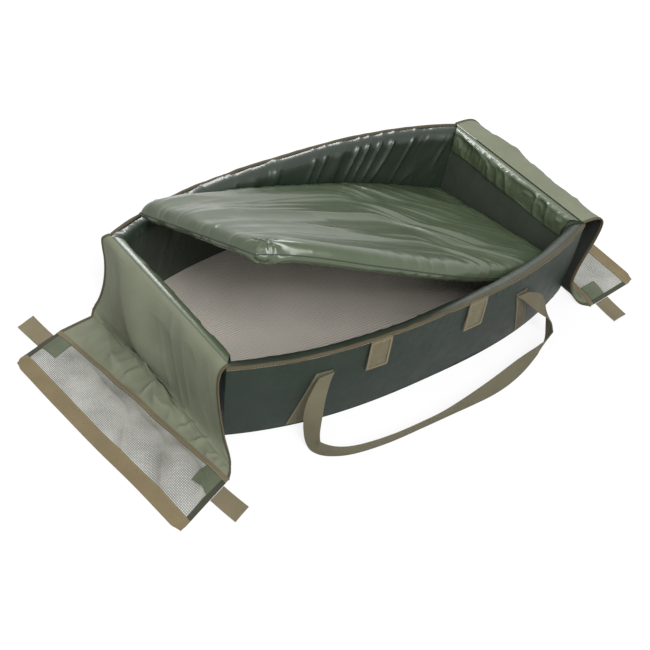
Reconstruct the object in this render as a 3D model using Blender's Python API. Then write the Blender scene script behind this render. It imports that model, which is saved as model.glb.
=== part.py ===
"""A carp angler's unhooking mat: padded walls, a loose mattress, two netted end flaps and two handles."""

import math
from collections import namedtuple

import bmesh
import bpy
from mathutils import Vector, geometry

# Body of the mat. X runs along it, Y across it and Z up from the ground, with the origin under its middle.

MAT_HEIGHT = 0.205
RIM_LENGTH = 1.05
RIM_END_WIDTH = 0.48
RIM_MID_WIDTH = 0.65
BASE_LENGTH = 1.024
BASE_END_WIDTH = 0.476
BASE_MID_WIDTH = 0.64
SIDE_WALL = 0.035
END_WALL = 0.028
COVER = 0.0015
BASE_SHEET = 0.003
FLOOR_SHEET = 0.002
WALL_CROWN = 0.005
SEAM_GAP = 0.0003
BINDING_WIDTH = 0.012
BINDING_RISE = 0.0035

# Mattress, whose right end lies on the floor and whose left end is lifted and rolled to the far side

PAD_THICKNESS = 0.055
PAD_CLEARANCE = 0.004
PAD_COVER = 0.0015
PAD_FOAM_GAP = 0.0006
PAD_CHANNEL_DEPTH = 0.005
PAD_FLAT_RUN = 0.03
PAD_BEND_RADIUS = 0.2
PAD_LEFT_HEIGHT = 0.23
PAD_FAR_OVERLAP = 0.012

# Sewn fittings on the long walls

PATCH_WIDTH = 0.055
PATCH_HEIGHT = 0.085
PATCH_SPACING = 0.275
PATCH_SHIFT = -0.0425
PATCH_THICKNESS = 0.002
WEBBING_WIDTH = 0.040
WEBBING_THICKNESS = 0.0025
WEB_FOOT_SPACING = 0.67
WEB_TOP_SPACING = 0.57
WEB_SHIFT = -0.026
WEB_TOP_HEIGHT = 0.150
WEB_FOOT_HEIGHT = 0.006
HANDLE_REACH = 0.130
HANDLE_SPREAD = 0.715
HANDLE_LIE_HEIGHT = 0.0205

# End flaps

FLAP_SHEET = 0.0025
FLAP_GAP = 0.0005
FLAP_RISE = 0.0010
FLAP_SET_IN = 0.006
FOOT_BEND_RADIUS = 0.020
EDGE_TAPE = 0.010
SEAM_TAPE = 0.012
NET_TAPE = 0.012
NET_SHEET = 0.001
TAPE_SHEET = 0.002
HEM_WIDTH = 0.038
TAB_WIDTH = 0.048
TAB_LENGTH = 0.076
TAB_SET_OUT = 0.008
TAB_HINGE_GAP = 0.0008
NET_CELLS = (16, 4)

Flap = namedtuple("Flap", (
    "side", "sign", "roll_reach", "foot_reach",
    "crease_near_out", "crease_near_side", "crease_far_out", "crease_far_side",
    "seam_near_out", "seam_near_side", "seam_far_out", "seam_far_side",
    "edge_near_out", "edge_near_side", "edge_far_out", "edge_far_side",
))
LEFT_FLAP = Flap(
    side="left", sign=-1,
    roll_reach=0.050, foot_reach=0.030,
    crease_near_out=0.018, crease_near_side=0.312, crease_far_out=0.031, crease_far_side=0.238,
    seam_near_out=0.046, seam_near_side=0.349, seam_far_out=0.130, seam_far_side=0.212,
    edge_near_out=0.211, edge_near_side=0.416, edge_far_out=0.270, edge_far_side=0.169,
)
RIGHT_FLAP = Flap(
    side="right", sign=1,
    roll_reach=0.200, foot_reach=0.030,
    crease_near_out=-0.013, crease_near_side=0.300, crease_far_out=0.070, crease_far_side=0.262,
    seam_near_out=0.011, seam_near_side=0.326, seam_far_out=0.097, seam_far_side=0.255,
    edge_near_out=0.200, edge_near_side=0.306, edge_far_out=0.222, edge_far_side=0.262,
)

# Shares and counts that set the forms

SIDE_CURVE_POWER = 2.6
CORNER_DRAW_SHARE = 0.75
NET_STRAND_SHARE = 0.22
PAD_SEAM_SHARE = 0.36
PAD_END_ROUND_POWER = 14
PAD_SIDE_ROUND_POWER = 10
PAD_CHANNEL_SHARES = (-0.52, 0.0, 0.52)
PAD_CHANNEL_WIDTH_SHARE = 0.13
PAD_CROWD_SHARE = 0.6
PAD_CELLS = (20, 16)
PAD_CHANNEL_END_SHARE = 0.9
PAD_RIGHT_ROLL_DEGREES = 8.8
PAD_LEFT_ROLL_DEGREES = 21.7
PAD_ROLL_START_SHARE = 0.74
PAD_ROLL_SPAN_SHARE = 2.05
PAD_LEAN_START_SHARE = 0.45
PAD_LEAN_SPAN_SHARE = 0.5
LINER_TOP_SHARE = 0.25
FOOT_BEND_SHARE = 0.6
FOOT_GAP_SHARE = 0.2
DROP_CURVE_POINTS = 64
HANDLE_SHIFT_SHARE = 0.03
HANDLE_LOW_SHARE = 0.25
HANDLE_TURN_LEAN_SHARE = 2.0
HANDLE_LEAN_SHARE = 0.9
HANDLE_LEAN_PLACE_SHARE = 0.66
HANDLE_LEAN_SPAN_SHARE = 0.07
HANDLE_TURN_SPAN_SHARE = 0.08
HANDLE_TURN_PLACE_SHARES = (0.22, 0.81)
SIDE_CELLS = 20
END_CELLS = 8
HANDLE_CELLS = 54

# The handle's route, as shares of its spread, its reach and the height of its sewn ends

HANDLE_ROUTE_SHARES = (
    (0.066, 0.00, 0.97), (0.050, 0.05, 0.86), (0.014, 0.18, 0.60), (-0.006, 0.33, 0.32),
    (-0.010, 0.54, 0.1367), (0.024, 0.75, 0.1367), (0.090, 0.90, 0.1367), (0.204, 0.985, 0.1367),
    (0.330, 1.00, 0.1367), (0.445, 0.985, 0.1367), (0.630, 0.90, 0.1367), (0.790, 0.73, 0.1367),
    (0.912, 0.56, 0.1367), (0.980, 0.38, 0.24), (0.974, 0.20, 0.52), (0.920, 0.07, 0.82),
    (0.866, 0.00, 0.97),
)

DARK_GREEN = (0.050, 0.066, 0.052)
OLIVE = (0.155, 0.175, 0.110)
GLOSS_GREEN = (0.075, 0.105, 0.055)
KHAKI = (0.215, 0.170, 0.095)
TAUPE = (0.290, 0.250, 0.210)
NET_GREY = (0.520, 0.520, 0.500)
FOAM_GREY = (0.180, 0.180, 0.170)


# Helpers

def clear_scene():
    for obj in list(bpy.data.objects):
        bpy.data.objects.remove(obj, do_unlink=True)


def new_collection(name):
    collection = bpy.data.collections.new(name)
    bpy.context.scene.collection.children.link(collection)
    return collection


def mix(first, second, share):
    return first + (second - first) * share


def paint(obj, colour, roughness):
    material = bpy.data.materials.new(obj.name)
    material.use_nodes = True
    shader = material.node_tree.nodes["Principled BSDF"]
    shader.inputs["Base Color"].default_value = (*colour, 1)
    shader.inputs["Roughness"].default_value = roughness
    shader.inputs["Metallic"].default_value = 0
    obj.data.materials.append(material)


def add_object(name, data, colour, roughness, parent=None):
    obj = bpy.data.objects.new(name, data)
    PARTS.objects.link(obj)
    paint(obj, colour, roughness)
    if parent:
        obj.parent = parent
        obj.matrix_parent_inverse = parent.matrix_world.inverted()
    return obj


def add_pivot(name, place):
    """An empty on a joint's axis, which carries the pieces that move with it."""
    pivot = bpy.data.objects.new(name, None)
    pivot.location = place
    PARTS.objects.link(pivot)
    bpy.context.view_layer.update()
    return pivot


def is_gap(face, cells):
    """Whether a face of the flat grid lies in every second column and every second row."""
    centre = face.calc_center_median()
    column, row = int((centre.x + 0.5) * cells[0]), int((centre.y + 0.5) * cells[1])
    return column % 2 == 1 and row % 2 == 1


def bent_sheet(name, place, cells, colour, roughness, parent=None, pierced=False):
    """A sheet of cells[0] by cells[1] faces, thickened and bent to place(u, v, w), each from 0 to 1."""
    mesh = bmesh.new()
    bmesh.ops.create_grid(mesh, x_segments=cells[0], y_segments=cells[1], size=0.5)
    bmesh.ops.triangulate(mesh, faces=mesh.faces[:], quad_method="FIXED")
    if pierced:
        gaps = [face for face in mesh.faces if is_gap(face, cells)]
        bmesh.ops.delete(mesh, geom=gaps, context="FACES")
    grown = bmesh.ops.extrude_face_region(mesh, geom=mesh.faces[:])
    top = {item for item in grown["geom"] if isinstance(item, bmesh.types.BMVert)}
    for vert in mesh.verts:
        vert.co = place(vert.co.x + 0.5, vert.co.y + 0.5, 1 if vert in top else 0)
    if mesh.calc_volume(signed=True) < 0:
        bmesh.ops.reverse_faces(mesh, faces=mesh.faces[:])
    data = bpy.data.meshes.new(name)
    mesh.to_mesh(data)
    mesh.free()
    data.shade_smooth()
    data.set_sharp_from_angle(angle=math.radians(40))
    return add_object(name, data, colour, roughness, parent)


def smooth_route(points, count):
    """Points along the Catmull-Rom curve through the given points."""
    padded = [points[0] * 2 - points[1], *points, points[-1] * 2 - points[-2]]
    route = []
    for step in range(count + 1):
        share = step / count * (len(points) - 1)
        start = min(int(share), len(points) - 2)
        t = share - start
        a, b, c, d = padded[start:start + 4]
        route.append((b * 2 + (c - a) * t + (a * 2 - b * 5 + c * 4 - d) * t * t
                      + (b * 3 - a - c * 3 + d) * t * t * t) / 2)
    return route


# Padded walls, each a foam core between an outer cover and a liner that turns over its top

def outline(height, depth):
    """Half the length, the end width and the middle width of the body, at a height and a depth inside it."""
    share = height / MAT_HEIGHT
    length = mix(BASE_LENGTH, RIM_LENGTH, share) / 2 - depth * END_WALL / SIDE_WALL
    end = mix(BASE_END_WIDTH, RIM_END_WIDTH, share) / 2 - depth * CORNER_DRAW_SHARE
    middle = mix(BASE_MID_WIDTH, RIM_MID_WIDTH, share) / 2 - depth
    return length, end, middle


def side_line(x, height, depth):
    """How far the long wall stands from the centre line."""
    length, end, middle = outline(height, depth)
    return mix(end, middle, 1 - (abs(x) / length) ** SIDE_CURVE_POWER)


def wall_point(wall, along, height, depth):
    """A point of a wall, along from -1 to 1."""
    length, end, _ = outline(height, depth)
    if wall in ("near", "far"):
        x = along * (length - SEAM_GAP)
        y = side_line(x, height, depth)
        return Vector((x, y if wall == "far" else -y, height))
    return Vector((length if wall == "right" else -length, along * (end - SEAM_GAP), height))


def wall_foot():
    return BASE_SHEET + SEAM_GAP


def crown(height):
    """How far the padding swells the inner face, nothing at its foot and at the rim."""
    share = (height - wall_foot()) / (MAT_HEIGHT - wall_foot())
    return WALL_CROWN * math.sin(math.pi * min(max(share, 0), 1))


def add_wall(wall):
    cells = SIDE_CELLS if wall in ("near", "far") else END_CELLS
    foot = wall_foot()
    liner_depth = SIDE_WALL - COVER

    def cover_place(u, v, w):
        height = mix(foot, MAT_HEIGHT, v)
        return wall_point(wall, 2 * u - 1, height, COVER * (1 - w))

    def foam_place(u, v, w):
        height = mix(foot, MAT_HEIGHT - COVER - SEAM_GAP, v)
        inner = liner_depth - SEAM_GAP + crown(height)
        return wall_point(wall, 2 * u - 1, height, mix(inner, COVER + SEAM_GAP, w))

    def liner_place(u, v, w):
        top = MAT_HEIGHT - COVER * (1 - w)
        if v <= 1 - LINER_TOP_SHARE:
            height = mix(foot, top, v / (1 - LINER_TOP_SHARE))
            depth = SIDE_WALL - COVER * (1 - w) + crown(height)
        else:
            height = top
            depth = mix(SIDE_WALL - COVER * (1 - w), COVER + SEAM_GAP, (v - 1) / LINER_TOP_SHARE + 1)
        return wall_point(wall, 2 * u - 1, height, depth)

    bent_sheet(f"{wall}_wall_cover", cover_place, (cells, 2), DARK_GREEN, 0.75)
    bent_sheet(f"{wall}_wall_foam", foam_place, (cells, 4), FOAM_GREY, 0.95)
    bent_sheet(f"{wall}_wall_liner", liner_place, (cells, 8), GLOSS_GREEN, 0.25)


def add_rim_binding(wall):
    cells = SIDE_CELLS if wall in ("near", "far") else END_CELLS

    def place(u, v, w):
        inward = BINDING_WIDTH * v
        point = wall_point(wall, 2 * u - 1, MAT_HEIGHT, inward)
        rise = BINDING_RISE * w * (1 - (2 * v - 1) ** 2 / 2)
        return point + Vector((0, 0, SEAM_GAP + rise))

    bent_sheet(f"{wall}_rim_binding", place, (cells, 4), KHAKI, 0.85)


def add_floor():
    def panel(low, thickness, depth):
        def place(u, v, w):
            height = low + thickness * w
            length = outline(height, depth)[0]
            x = (2 * u - 1) * (length - SEAM_GAP)
            return Vector((x, (2 * v - 1) * side_line(x, height, depth), height))
        return place

    bent_sheet("base_panel", panel(0, BASE_SHEET, 0), (SIDE_CELLS, 2), DARK_GREEN, 0.8)
    low = wall_foot()
    floor = panel(low, FLOOR_SHEET, SIDE_WALL + COVER)
    bent_sheet("floor_mesh", floor, (SIDE_CELLS, 2), TAUPE, 0.9)


# Mattress

def pad_half_length():
    """Half the mattress's length, which clears the end walls at its foot and at its top."""
    return min(outline(height, SIDE_WALL)[0] for height in (BASE_SHEET, PAD_THICKNESS)) - PAD_CLEARANCE


def pad_half_width(share):
    """Half the mattress's width at a share of its half length, which follows the walls."""
    _, end, middle = outline(BASE_SHEET, SIDE_WALL)
    full = mix(end, middle, 1 - abs(share) ** SIDE_CURVE_POWER)
    return full - PAD_CLEARANCE - WALL_CROWN


def pad_slope():
    """The angle that the lifted stretch stands at, so that its left end comes to its height."""
    run = 2 * pad_half_length() - PAD_FLAT_RUN
    slope = 0
    for _ in range(30):
        bent = PAD_BEND_RADIUS * slope
        rise = PAD_BEND_RADIUS * (1 - math.cos(slope))
        slope += (PAD_LEFT_HEIGHT - rise - (run - bent) * math.sin(slope)) / run
    return slope


def pad_station(share):
    """Place on the bent far edge line and the angle there, for a share from -1, left, to 1, right."""
    distance = pad_half_length() * (1 - share)
    right = pad_half_length()
    past = distance - PAD_FLAT_RUN
    if past <= 0:
        return right - distance, 0, 0
    full = pad_slope()
    angle = min(past / PAD_BEND_RADIUS, full)
    straight = past - PAD_BEND_RADIUS * angle
    x = right - PAD_FLAT_RUN - PAD_BEND_RADIUS * math.sin(angle) - straight * math.cos(angle)
    z = PAD_BEND_RADIUS * (1 - math.cos(angle)) + straight * math.sin(angle)
    return x, z, angle


def ease(share):
    share = min(max(share, 0), 1)
    return share * share * (3 - 2 * share)


def pad_roll(share):
    """How far the mattress rolls up at its near edge: a little at the right, more at the left."""
    turned = ease((PAD_ROLL_START_SHARE - share) / PAD_ROLL_SPAN_SHARE)
    return math.radians(mix(PAD_RIGHT_ROLL_DEGREES, PAD_LEFT_ROLL_DEGREES, turned))


def pad_point(share, across, rise):
    """A point of the lifted mattress, over its far edge's lowest place: across is towards the far side."""
    x, z, angle = pad_station(share)
    roll = pad_roll(share)
    width = pad_half_width(share)
    lifted = Vector((math.sin(angle), 0, math.cos(angle)))
    side = Vector((0, math.cos(roll), 0)) - lifted * math.sin(roll)
    up = lifted * math.cos(roll) + Vector((0, math.sin(roll), 0))
    far_y = side_line(min(max(x, -pad_half_length()), pad_half_length()), BASE_SHEET, SIDE_WALL)
    lean = ease((-share - PAD_LEAN_START_SHARE) / PAD_LEAN_SPAN_SHARE)
    far_y += mix(-PAD_CLEARANCE - WALL_CROWN, PAD_FAR_OVERLAP, lean) - PAD_THICKNESS * math.sin(roll) / 2
    edge = Vector((x, far_y, z))
    return edge - side * (width - across) + up * rise


def crowd(share):
    """A share from -1 to 1, crowded towards its ends, where the mattress rounds over."""
    return mix(share, math.sin(math.pi / 2 * share), PAD_CROWD_SHARE)


def pad_face(u, v, top, inset, parting):
    """A point of the mattress's upper or lower face, drawn in to its seam at the edges."""
    share, side = crowd(2 * u - 1), crowd(2 * v - 1)
    end = 1 - abs(share) ** PAD_END_ROUND_POWER
    edge = 1 - abs(side) ** PAD_SIDE_ROUND_POWER
    swell = math.sqrt(max(end, 0)) * math.sqrt(max(edge, 0))
    seam = PAD_THICKNESS * PAD_SEAM_SHARE
    if top:
        rise = seam + parting / 2 + (PAD_THICKNESS - seam - parting / 2 - inset) * swell
        for place in PAD_CHANNEL_SHARES:
            off = (side - place) / PAD_CHANNEL_WIDTH_SHARE
            fade = ease((1 - abs(share)) / (1 - PAD_CHANNEL_END_SHARE))
            rise -= PAD_CHANNEL_DEPTH * math.exp(-off * off) * fade * swell
    else:
        rise = seam - parting / 2 - (seam - parting / 2 - inset) * swell
    inner = 1 - inset / pad_half_length()
    width = pad_half_width(share) - inset
    return pad_point(share * inner, side * width, rise)


def pad_seat():
    """How far the mattress is moved up or down so that its rounded underside rests on the floor."""
    columns, rows = PAD_CELLS
    spots = [(column / columns, row / rows) for column in range(columns + 1) for row in range(rows + 1)]
    lowest = min(pad_face(u, v, False, 0, SEAM_GAP).z for u, v in spots)
    return Vector((0, 0, wall_foot() + FLOOR_SHEET + SEAM_GAP - lowest))


def add_pad(parent):
    seat = pad_seat()

    def cover(top):
        return lambda u, v, w: pad_face(u, v, top, PAD_COVER * (1 - w), SEAM_GAP) + seat

    def foam(u, v, w):
        return pad_face(u, v, w == 1, PAD_COVER + PAD_FOAM_GAP, SEAM_GAP / 3) + seat

    bent_sheet("pad_top_cover", cover(True), PAD_CELLS, GLOSS_GREEN, 0.2, parent)
    bent_sheet("pad_bottom_cover", cover(False), PAD_CELLS, GLOSS_GREEN, 0.25, parent)
    bent_sheet("pad_foam", foam, PAD_CELLS, FOAM_GREY, 0.95, parent)


# Fittings sewn on the long walls

def on_wall(wall, x, height, out):
    """A point that stands out from a long wall's face."""
    y = side_line(x, height, -out)
    return Vector((x, y if wall == "far" else -y, height))


def add_patches(wall):
    top = MAT_HEIGHT - SEAM_GAP
    for side, sign in (("left", -1), ("right", 1)):
        middle = PATCH_SHIFT + sign * PATCH_SPACING / 2

        def place(u, v, w, middle=middle):
            x = middle + PATCH_WIDTH * (u - 0.5)
            return on_wall(wall, x, top - PATCH_HEIGHT * (1 - v), SEAM_GAP + PATCH_THICKNESS * w)

        bent_sheet(f"{wall}_{side}_loop_patch", place, (2, 2), KHAKI, 0.95)


def web_line(sign, share):
    """The centre of a sewn web, which leans in from its foot to its top."""
    spacing = mix(WEB_FOOT_SPACING, WEB_TOP_SPACING, share)
    return WEB_SHIFT + sign * spacing / 2, mix(WEB_FOOT_HEIGHT, WEB_TOP_HEIGHT, share)


def add_webs(wall):
    for side, sign in (("left", -1), ("right", 1)):
        def place(u, v, w, sign=sign):
            x, height = web_line(sign, v)
            x += WEBBING_WIDTH * (u - 0.5)
            return on_wall(wall, x, height, SEAM_GAP + WEBBING_THICKNESS * w)

        bent_sheet(f"{wall}_{side}_sewn_web", place, (2, 3), KHAKI, 0.85)


def handle_pivots(wall):
    """A handle's two ends on its axis at the tops of the sewn webs, clear of the wall over its width."""
    height = WEB_TOP_HEIGHT * HANDLE_ROUTE_SHARES[0][2]
    ends = []
    for sign in (-1, 1):
        x = web_line(sign, 1)[0]
        curve = side_line(abs(x) - WEBBING_WIDTH / 2, height, 0) - side_line(x, height, 0)
        ends.append(on_wall(wall, x, height, 2 * SEAM_GAP + 1.5 * WEBBING_THICKNESS + curve))
    return ends


def add_handle(wall, parent):
    outward = 1 if wall == "far" else -1
    start, end = handle_pivots(wall)
    axis = (end - start).normalized()
    points = []
    for along, out, height in HANDLE_ROUTE_SHARES:
        x = WEB_SHIFT + HANDLE_SPREAD * (along - 0.5 + HANDLE_SHIFT_SHARE)
        share = (x - start.x) / (end.x - start.x)
        y = mix(start.y, end.y, min(max(share, 0), 1)) + outward * HANDLE_REACH * out
        points.append(Vector((x, y, WEB_TOP_HEIGHT * height)))
    points[0], points[-1] = start, end
    route = smooth_route(points, HANDLE_CELLS)
    for point in route:
        point.z = max(point.z, HANDLE_LIE_HEIGHT)

    def frame(step):
        """The webbing's width, along the axis where it is sewn, and its face direction."""
        before, after = route[max(step - 1, 0)], route[min(step + 1, HANDLE_CELLS)]
        run = (after - before).normalized()
        share = step / HANDLE_CELLS
        turns = [math.exp(-((share - at) / HANDLE_TURN_SPAN_SHARE) ** 2) for at in HANDLE_TURN_PLACE_SHARES]
        lean = math.exp(-((share - HANDLE_LEAN_PLACE_SHARE) / HANDLE_LEAN_SPAN_SHARE) ** 2)
        x, half = route[step].x, WEBBING_WIDTH / 2
        height = WEB_TOP_HEIGHT
        slope = (side_line(x - half, height, 0) - side_line(x + half, height, 0)) / WEBBING_WIDTH
        turned = HANDLE_TURN_LEAN_SHARE * (turns[1] - turns[0])
        face = Vector((slope + turned, outward, HANDLE_LEAN_SHARE * lean))
        face = (face - run * face.dot(run)).normalized()
        width = run.cross(face).normalized()
        square = ease((start.z - route[step].z) / WEBBING_WIDTH)
        if width.dot(axis) < 0:
            return (-axis).lerp(width, square).normalized(), face
        return axis.lerp(width, square).normalized(), face

    def place(u, v, w):
        step = round(u * HANDLE_CELLS)
        width, face = frame(step)
        middle = route[step]
        low = HANDLE_LIE_HEIGHT - WEBBING_WIDTH / 2 * abs(width.z) - WEBBING_THICKNESS / 2 * abs(face.z)
        if middle.z < WEB_TOP_HEIGHT * HANDLE_LOW_SHARE:
            middle = middle - Vector((0, 0, min(low, HANDLE_LIE_HEIGHT) - SEAM_GAP))
        return middle + width * WEBBING_WIDTH * (v - 0.5) + face * WEBBING_THICKNESS * (w - 0.5)

    bent_sheet(f"{wall}_handle_webbing", place, (HANDLE_CELLS, 2), KHAKI, 0.85, parent)


# End flaps: a panel that drops outside the end wall, and an apron on the ground with its net

def flap_hinge(flap):
    """The middle of the flap's hinge line, just over the end rim."""
    height = MAT_HEIGHT + SEAM_GAP + BINDING_RISE + FLAP_RISE + FLAP_SHEET / 2
    return Vector((flap.sign * (RIM_LENGTH / 2 - FLAP_SET_IN), 0, height))


def crease_point(flap, across):
    """Where the drop ends and the apron starts, in the middle of the sheet, at half of the foot's bend."""
    lift = FOOT_BEND_RADIUS * (1 - math.cos(math.pi / 4))
    out = mix(flap.crease_near_out, flap.crease_far_out, across)
    side = mix(-flap.crease_near_side, flap.crease_far_side, across)
    return Vector((flap.sign * (RIM_LENGTH / 2 + out), side, FLAP_SHEET / 2 + lift))


def crease_axis_point(flap, across):
    """The crease on the sheet's under face, which it turns about."""
    slant = FLAP_SHEET / 2 * math.sqrt(0.5)
    return crease_point(flap, across) - Vector((flap.sign * slant, 0, slant))


def drop_profile(flap, share, across):
    """Place and outward face direction on the drop's middle surface, from its hinge, 0, to its crease, 1."""
    top, foot = flap_hinge(flap), crease_point(flap, across)
    foot.y = 0
    reach = Vector((flap.sign * flap.roll_reach, 0, 0))
    draw = foot + Vector((-flap.sign, 0, 1)) * flap.foot_reach
    curve = geometry.interpolate_bezier(top, top + reach, draw, foot, DROP_CURVE_POINTS)
    at = share * (DROP_CURVE_POINTS - 1)
    step = min(int(at), DROP_CURVE_POINTS - 2)
    point = curve[step].lerp(curve[step + 1], at - step)
    run = (curve[step + 1] - curve[step]).normalized()
    return point, Vector((-run.z * flap.sign, 0, run.x * flap.sign))


def drop_sides(flap, share):
    """Near and far edge of the drop, which widens towards its foot."""
    flare = share ** 3
    half = RIM_END_WIDTH / 2
    return -mix(half, flap.crease_near_side, flare), mix(half, flap.crease_far_side, flare)


def drop_strip(flap, low, high):
    """The drop between two distances from its near edge, each worked out from its width."""
    def place(u, v, w):
        near, far = drop_sides(flap, v)
        width = far - near
        y = near + mix(low(width), high(width), u)
        point, face = drop_profile(flap, v, (y - near) / width)
        return point + Vector((0, y, 0)) + face * FLAP_SHEET * (w - 0.5)
    return place


def ground(flap, across, out, height):
    """A point of the apron on the ground, from its seam, out 0, to its outer edge, out 1."""
    near = Vector((mix(flap.seam_near_out, flap.edge_near_out, out),
                   -mix(flap.seam_near_side, flap.edge_near_side, out)))
    far = Vector((mix(flap.seam_far_out, flap.edge_far_out, out),
                  mix(flap.seam_far_side, flap.edge_far_side, out)))
    spot = near.lerp(far, across)
    return Vector((flap.sign * (RIM_LENGTH / 2 + spot.x), spot.y, height))


def apron_width(flap):
    return (ground(flap, 1, 0, 0) - ground(flap, 0, 0, 0)).length


def apron_run(flap, across):
    return (ground(flap, across, 1, 0) - ground(flap, across, 0, 0)).length


def apron_strip(flap, across, out_from, out_to, thickness):
    """A flat piece of the apron, between two shares across and two distances from its seam."""
    def place(u, v, w):
        at = mix(across[0], across[1], u)
        run = apron_run(flap, at)
        return ground(flap, at, mix(out_from(run), out_to(run), v) / run, thickness * w)
    return place


def apron_panel_place(flap):
    """The apron's cloth, from the second half of the foot's bend to the seam."""
    def place(u, v, w):
        first = crease_point(flap, u)
        last = ground(flap, u, -SEAM_GAP / apron_run(flap, u), FLAP_SHEET / 2)
        turn = math.pi / 4 * (1 - min(v / FOOT_BEND_SHARE, 1))
        bend = FOOT_BEND_RADIUS * (math.sin(math.pi / 4) - math.sin(turn))
        lift = FOOT_BEND_RADIUS * (1 - math.cos(turn))
        settle = max(v - FOOT_BEND_SHARE, 0) / (1 - FOOT_BEND_SHARE)
        bent = first + Vector((flap.sign * bend, 0, 0))
        spot = bent.lerp(last, settle)
        spot.y = mix(first.y, last.y, v)
        face = Vector((flap.sign * math.sin(turn), 0, math.cos(turn)))
        along = Vector((flap.sign * math.cos(turn), 0, -math.sin(turn)))
        gap = along * FLAP_GAP * max(1 - v / FOOT_GAP_SHARE, 0)
        return Vector((spot.x, spot.y, FLAP_SHEET / 2 + lift)) + gap + face * FLAP_SHEET * (w - 0.5)
    return place


def net_lane(share, count):
    """Where a grid line falls on a net with this many gaps, as its strands and gaps take turns."""
    line = round(share * (2 * count + 1))
    return (line // 2 + line % 2 * NET_STRAND_SHARE) / (count + NET_STRAND_SHARE)


def add_net(flap, parent):
    """The net, a flat sheet pierced by a grid of gaps."""
    columns, rows = NET_CELLS
    low = (NET_TAPE + SEAM_GAP) / apron_width(flap)

    def place(u, v, w):
        at = mix(low, 1 - low, net_lane(u, columns))
        run = apron_run(flap, at)
        out = mix(SEAM_TAPE + SEAM_GAP, run - HEM_WIDTH - SEAM_GAP, net_lane(v, rows))
        return ground(flap, at, out / run, NET_SHEET * w)

    cells = (2 * columns + 1, 2 * rows + 1)
    bent_sheet(f"{flap.side}_net", place, cells, NET_GREY, 0.8, parent, pierced=True)


def tab_line(flap, end):
    """The ends of a tab's hinge line on the net's side edge, and the way that the tab points."""
    across = 0 if end == "near" else 1
    run = apron_run(flap, across)
    first = ground(flap, across, (SEAM_TAPE + TAB_SET_OUT) / run, 0)
    last = ground(flap, across, (SEAM_TAPE + TAB_SET_OUT + TAB_WIDTH) / run, 0)
    way = (ground(flap, 1, 0, 0) - ground(flap, 0, 0, 0)).normalized()
    return first, last, way if end == "far" else -way


def add_tab(flap, end):
    first, last, way = tab_line(flap, end)
    hinge = first.lerp(last, 0.5) + Vector((0, 0, TAPE_SHEET))
    pivot = add_pivot(f"{flap.side}_{end}_tab_pivot", hinge)

    def place(u, v, w):
        out = TAB_HINGE_GAP + (TAB_LENGTH - TAB_HINGE_GAP) * v
        return first.lerp(last, u) + way * out + Vector((0, 0, TAPE_SHEET * w))

    bent_sheet(f"{flap.side}_{end}_tab", place, (2, 2), KHAKI, 0.9, pivot)


def add_tab_patch(flap, end, parent):
    """The square of cloth that backs a tab, on top of the net."""
    first, last, way = tab_line(flap, end)
    low = NET_SHEET + SEAM_GAP

    def place(u, v, w):
        inward = NET_TAPE + SEAM_GAP + TAB_WIDTH * v
        return first.lerp(last, u) - way * inward + Vector((0, 0, low + TAPE_SHEET / 2 * w))

    bent_sheet(f"{flap.side}_{end}_tab_patch", place, (2, 2), OLIVE, 0.8, parent)


def add_flap(flap):
    fold = add_pivot(f"{flap.side}_flap_pivot", flap_hinge(flap))
    crease = add_pivot(f"{flap.side}_apron_pivot", crease_axis_point(flap, 0.5))
    name = flap.side
    inset = EDGE_TAPE + SEAM_GAP
    panel = drop_strip(flap, lambda width: inset, lambda width: width - inset)
    near_edge = drop_strip(flap, lambda width: 0, lambda width: EDGE_TAPE)
    far_edge = drop_strip(flap, lambda width: width - EDGE_TAPE, lambda width: width)
    bent_sheet(f"{name}_drop_panel", panel, (12, 14), OLIVE, 0.7, fold)
    bent_sheet(f"{name}_drop_near_binding", near_edge, (1, 14), KHAKI, 0.85, fold)
    bent_sheet(f"{name}_drop_far_binding", far_edge, (1, 14), KHAKI, 0.85, fold)
    bent_sheet(f"{name}_apron_panel", apron_panel_place(flap), (12, 5), OLIVE, 0.7, crease)
    sides = NET_TAPE / apron_width(flap)
    tape = apron_strip(flap, (0, 1), lambda run: 0, lambda run: SEAM_TAPE, TAPE_SHEET)
    bent_sheet(f"{name}_seam_tape", tape, (12, 1), KHAKI, 0.85, crease)
    hem = apron_strip(flap, (0, 1), lambda run: run - HEM_WIDTH, lambda run: run, TAPE_SHEET)
    bent_sheet(f"{name}_net_hem", hem, (12, 2), KHAKI, 0.85, crease)
    for end, across in (("near", (0, sides)), ("far", (1 - sides, 1))):
        edge = apron_strip(flap, across, lambda run: SEAM_TAPE + SEAM_GAP,
                           lambda run: run - HEM_WIDTH - SEAM_GAP, TAPE_SHEET)
        bent_sheet(f"{name}_net_{end}_tape", edge, (1, 4), OLIVE, 0.8, crease)
        add_tab_patch(flap, end, crease)
        add_tab(flap, end)
    add_net(flap, crease)


# The whole mat

clear_scene()
PARTS = new_collection("unhooking_mat")
add_floor()
for wall_name in ("near", "far", "left", "right"):
    add_wall(wall_name)
    add_rim_binding(wall_name)
for wall_name in ("near", "far"):
    add_patches(wall_name)
    add_webs(wall_name)
    pivots = handle_pivots(wall_name)
    add_handle(wall_name, add_pivot(f"{wall_name}_handle_pivot", pivots[0].lerp(pivots[1], 0.5)))
add_pad(add_pivot("pad_pivot", Vector((0, 0, wall_foot() + FLOOR_SHEET))))
add_flap(LEFT_FLAP)
add_flap(RIGHT_FLAP)
bpy.context.view_layer.update()
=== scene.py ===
"""The looks of a carp angler's unhooking mat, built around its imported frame."""

import math
from types import SimpleNamespace

import bpy
import numpy as np
from mathutils import Matrix, Vector


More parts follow.
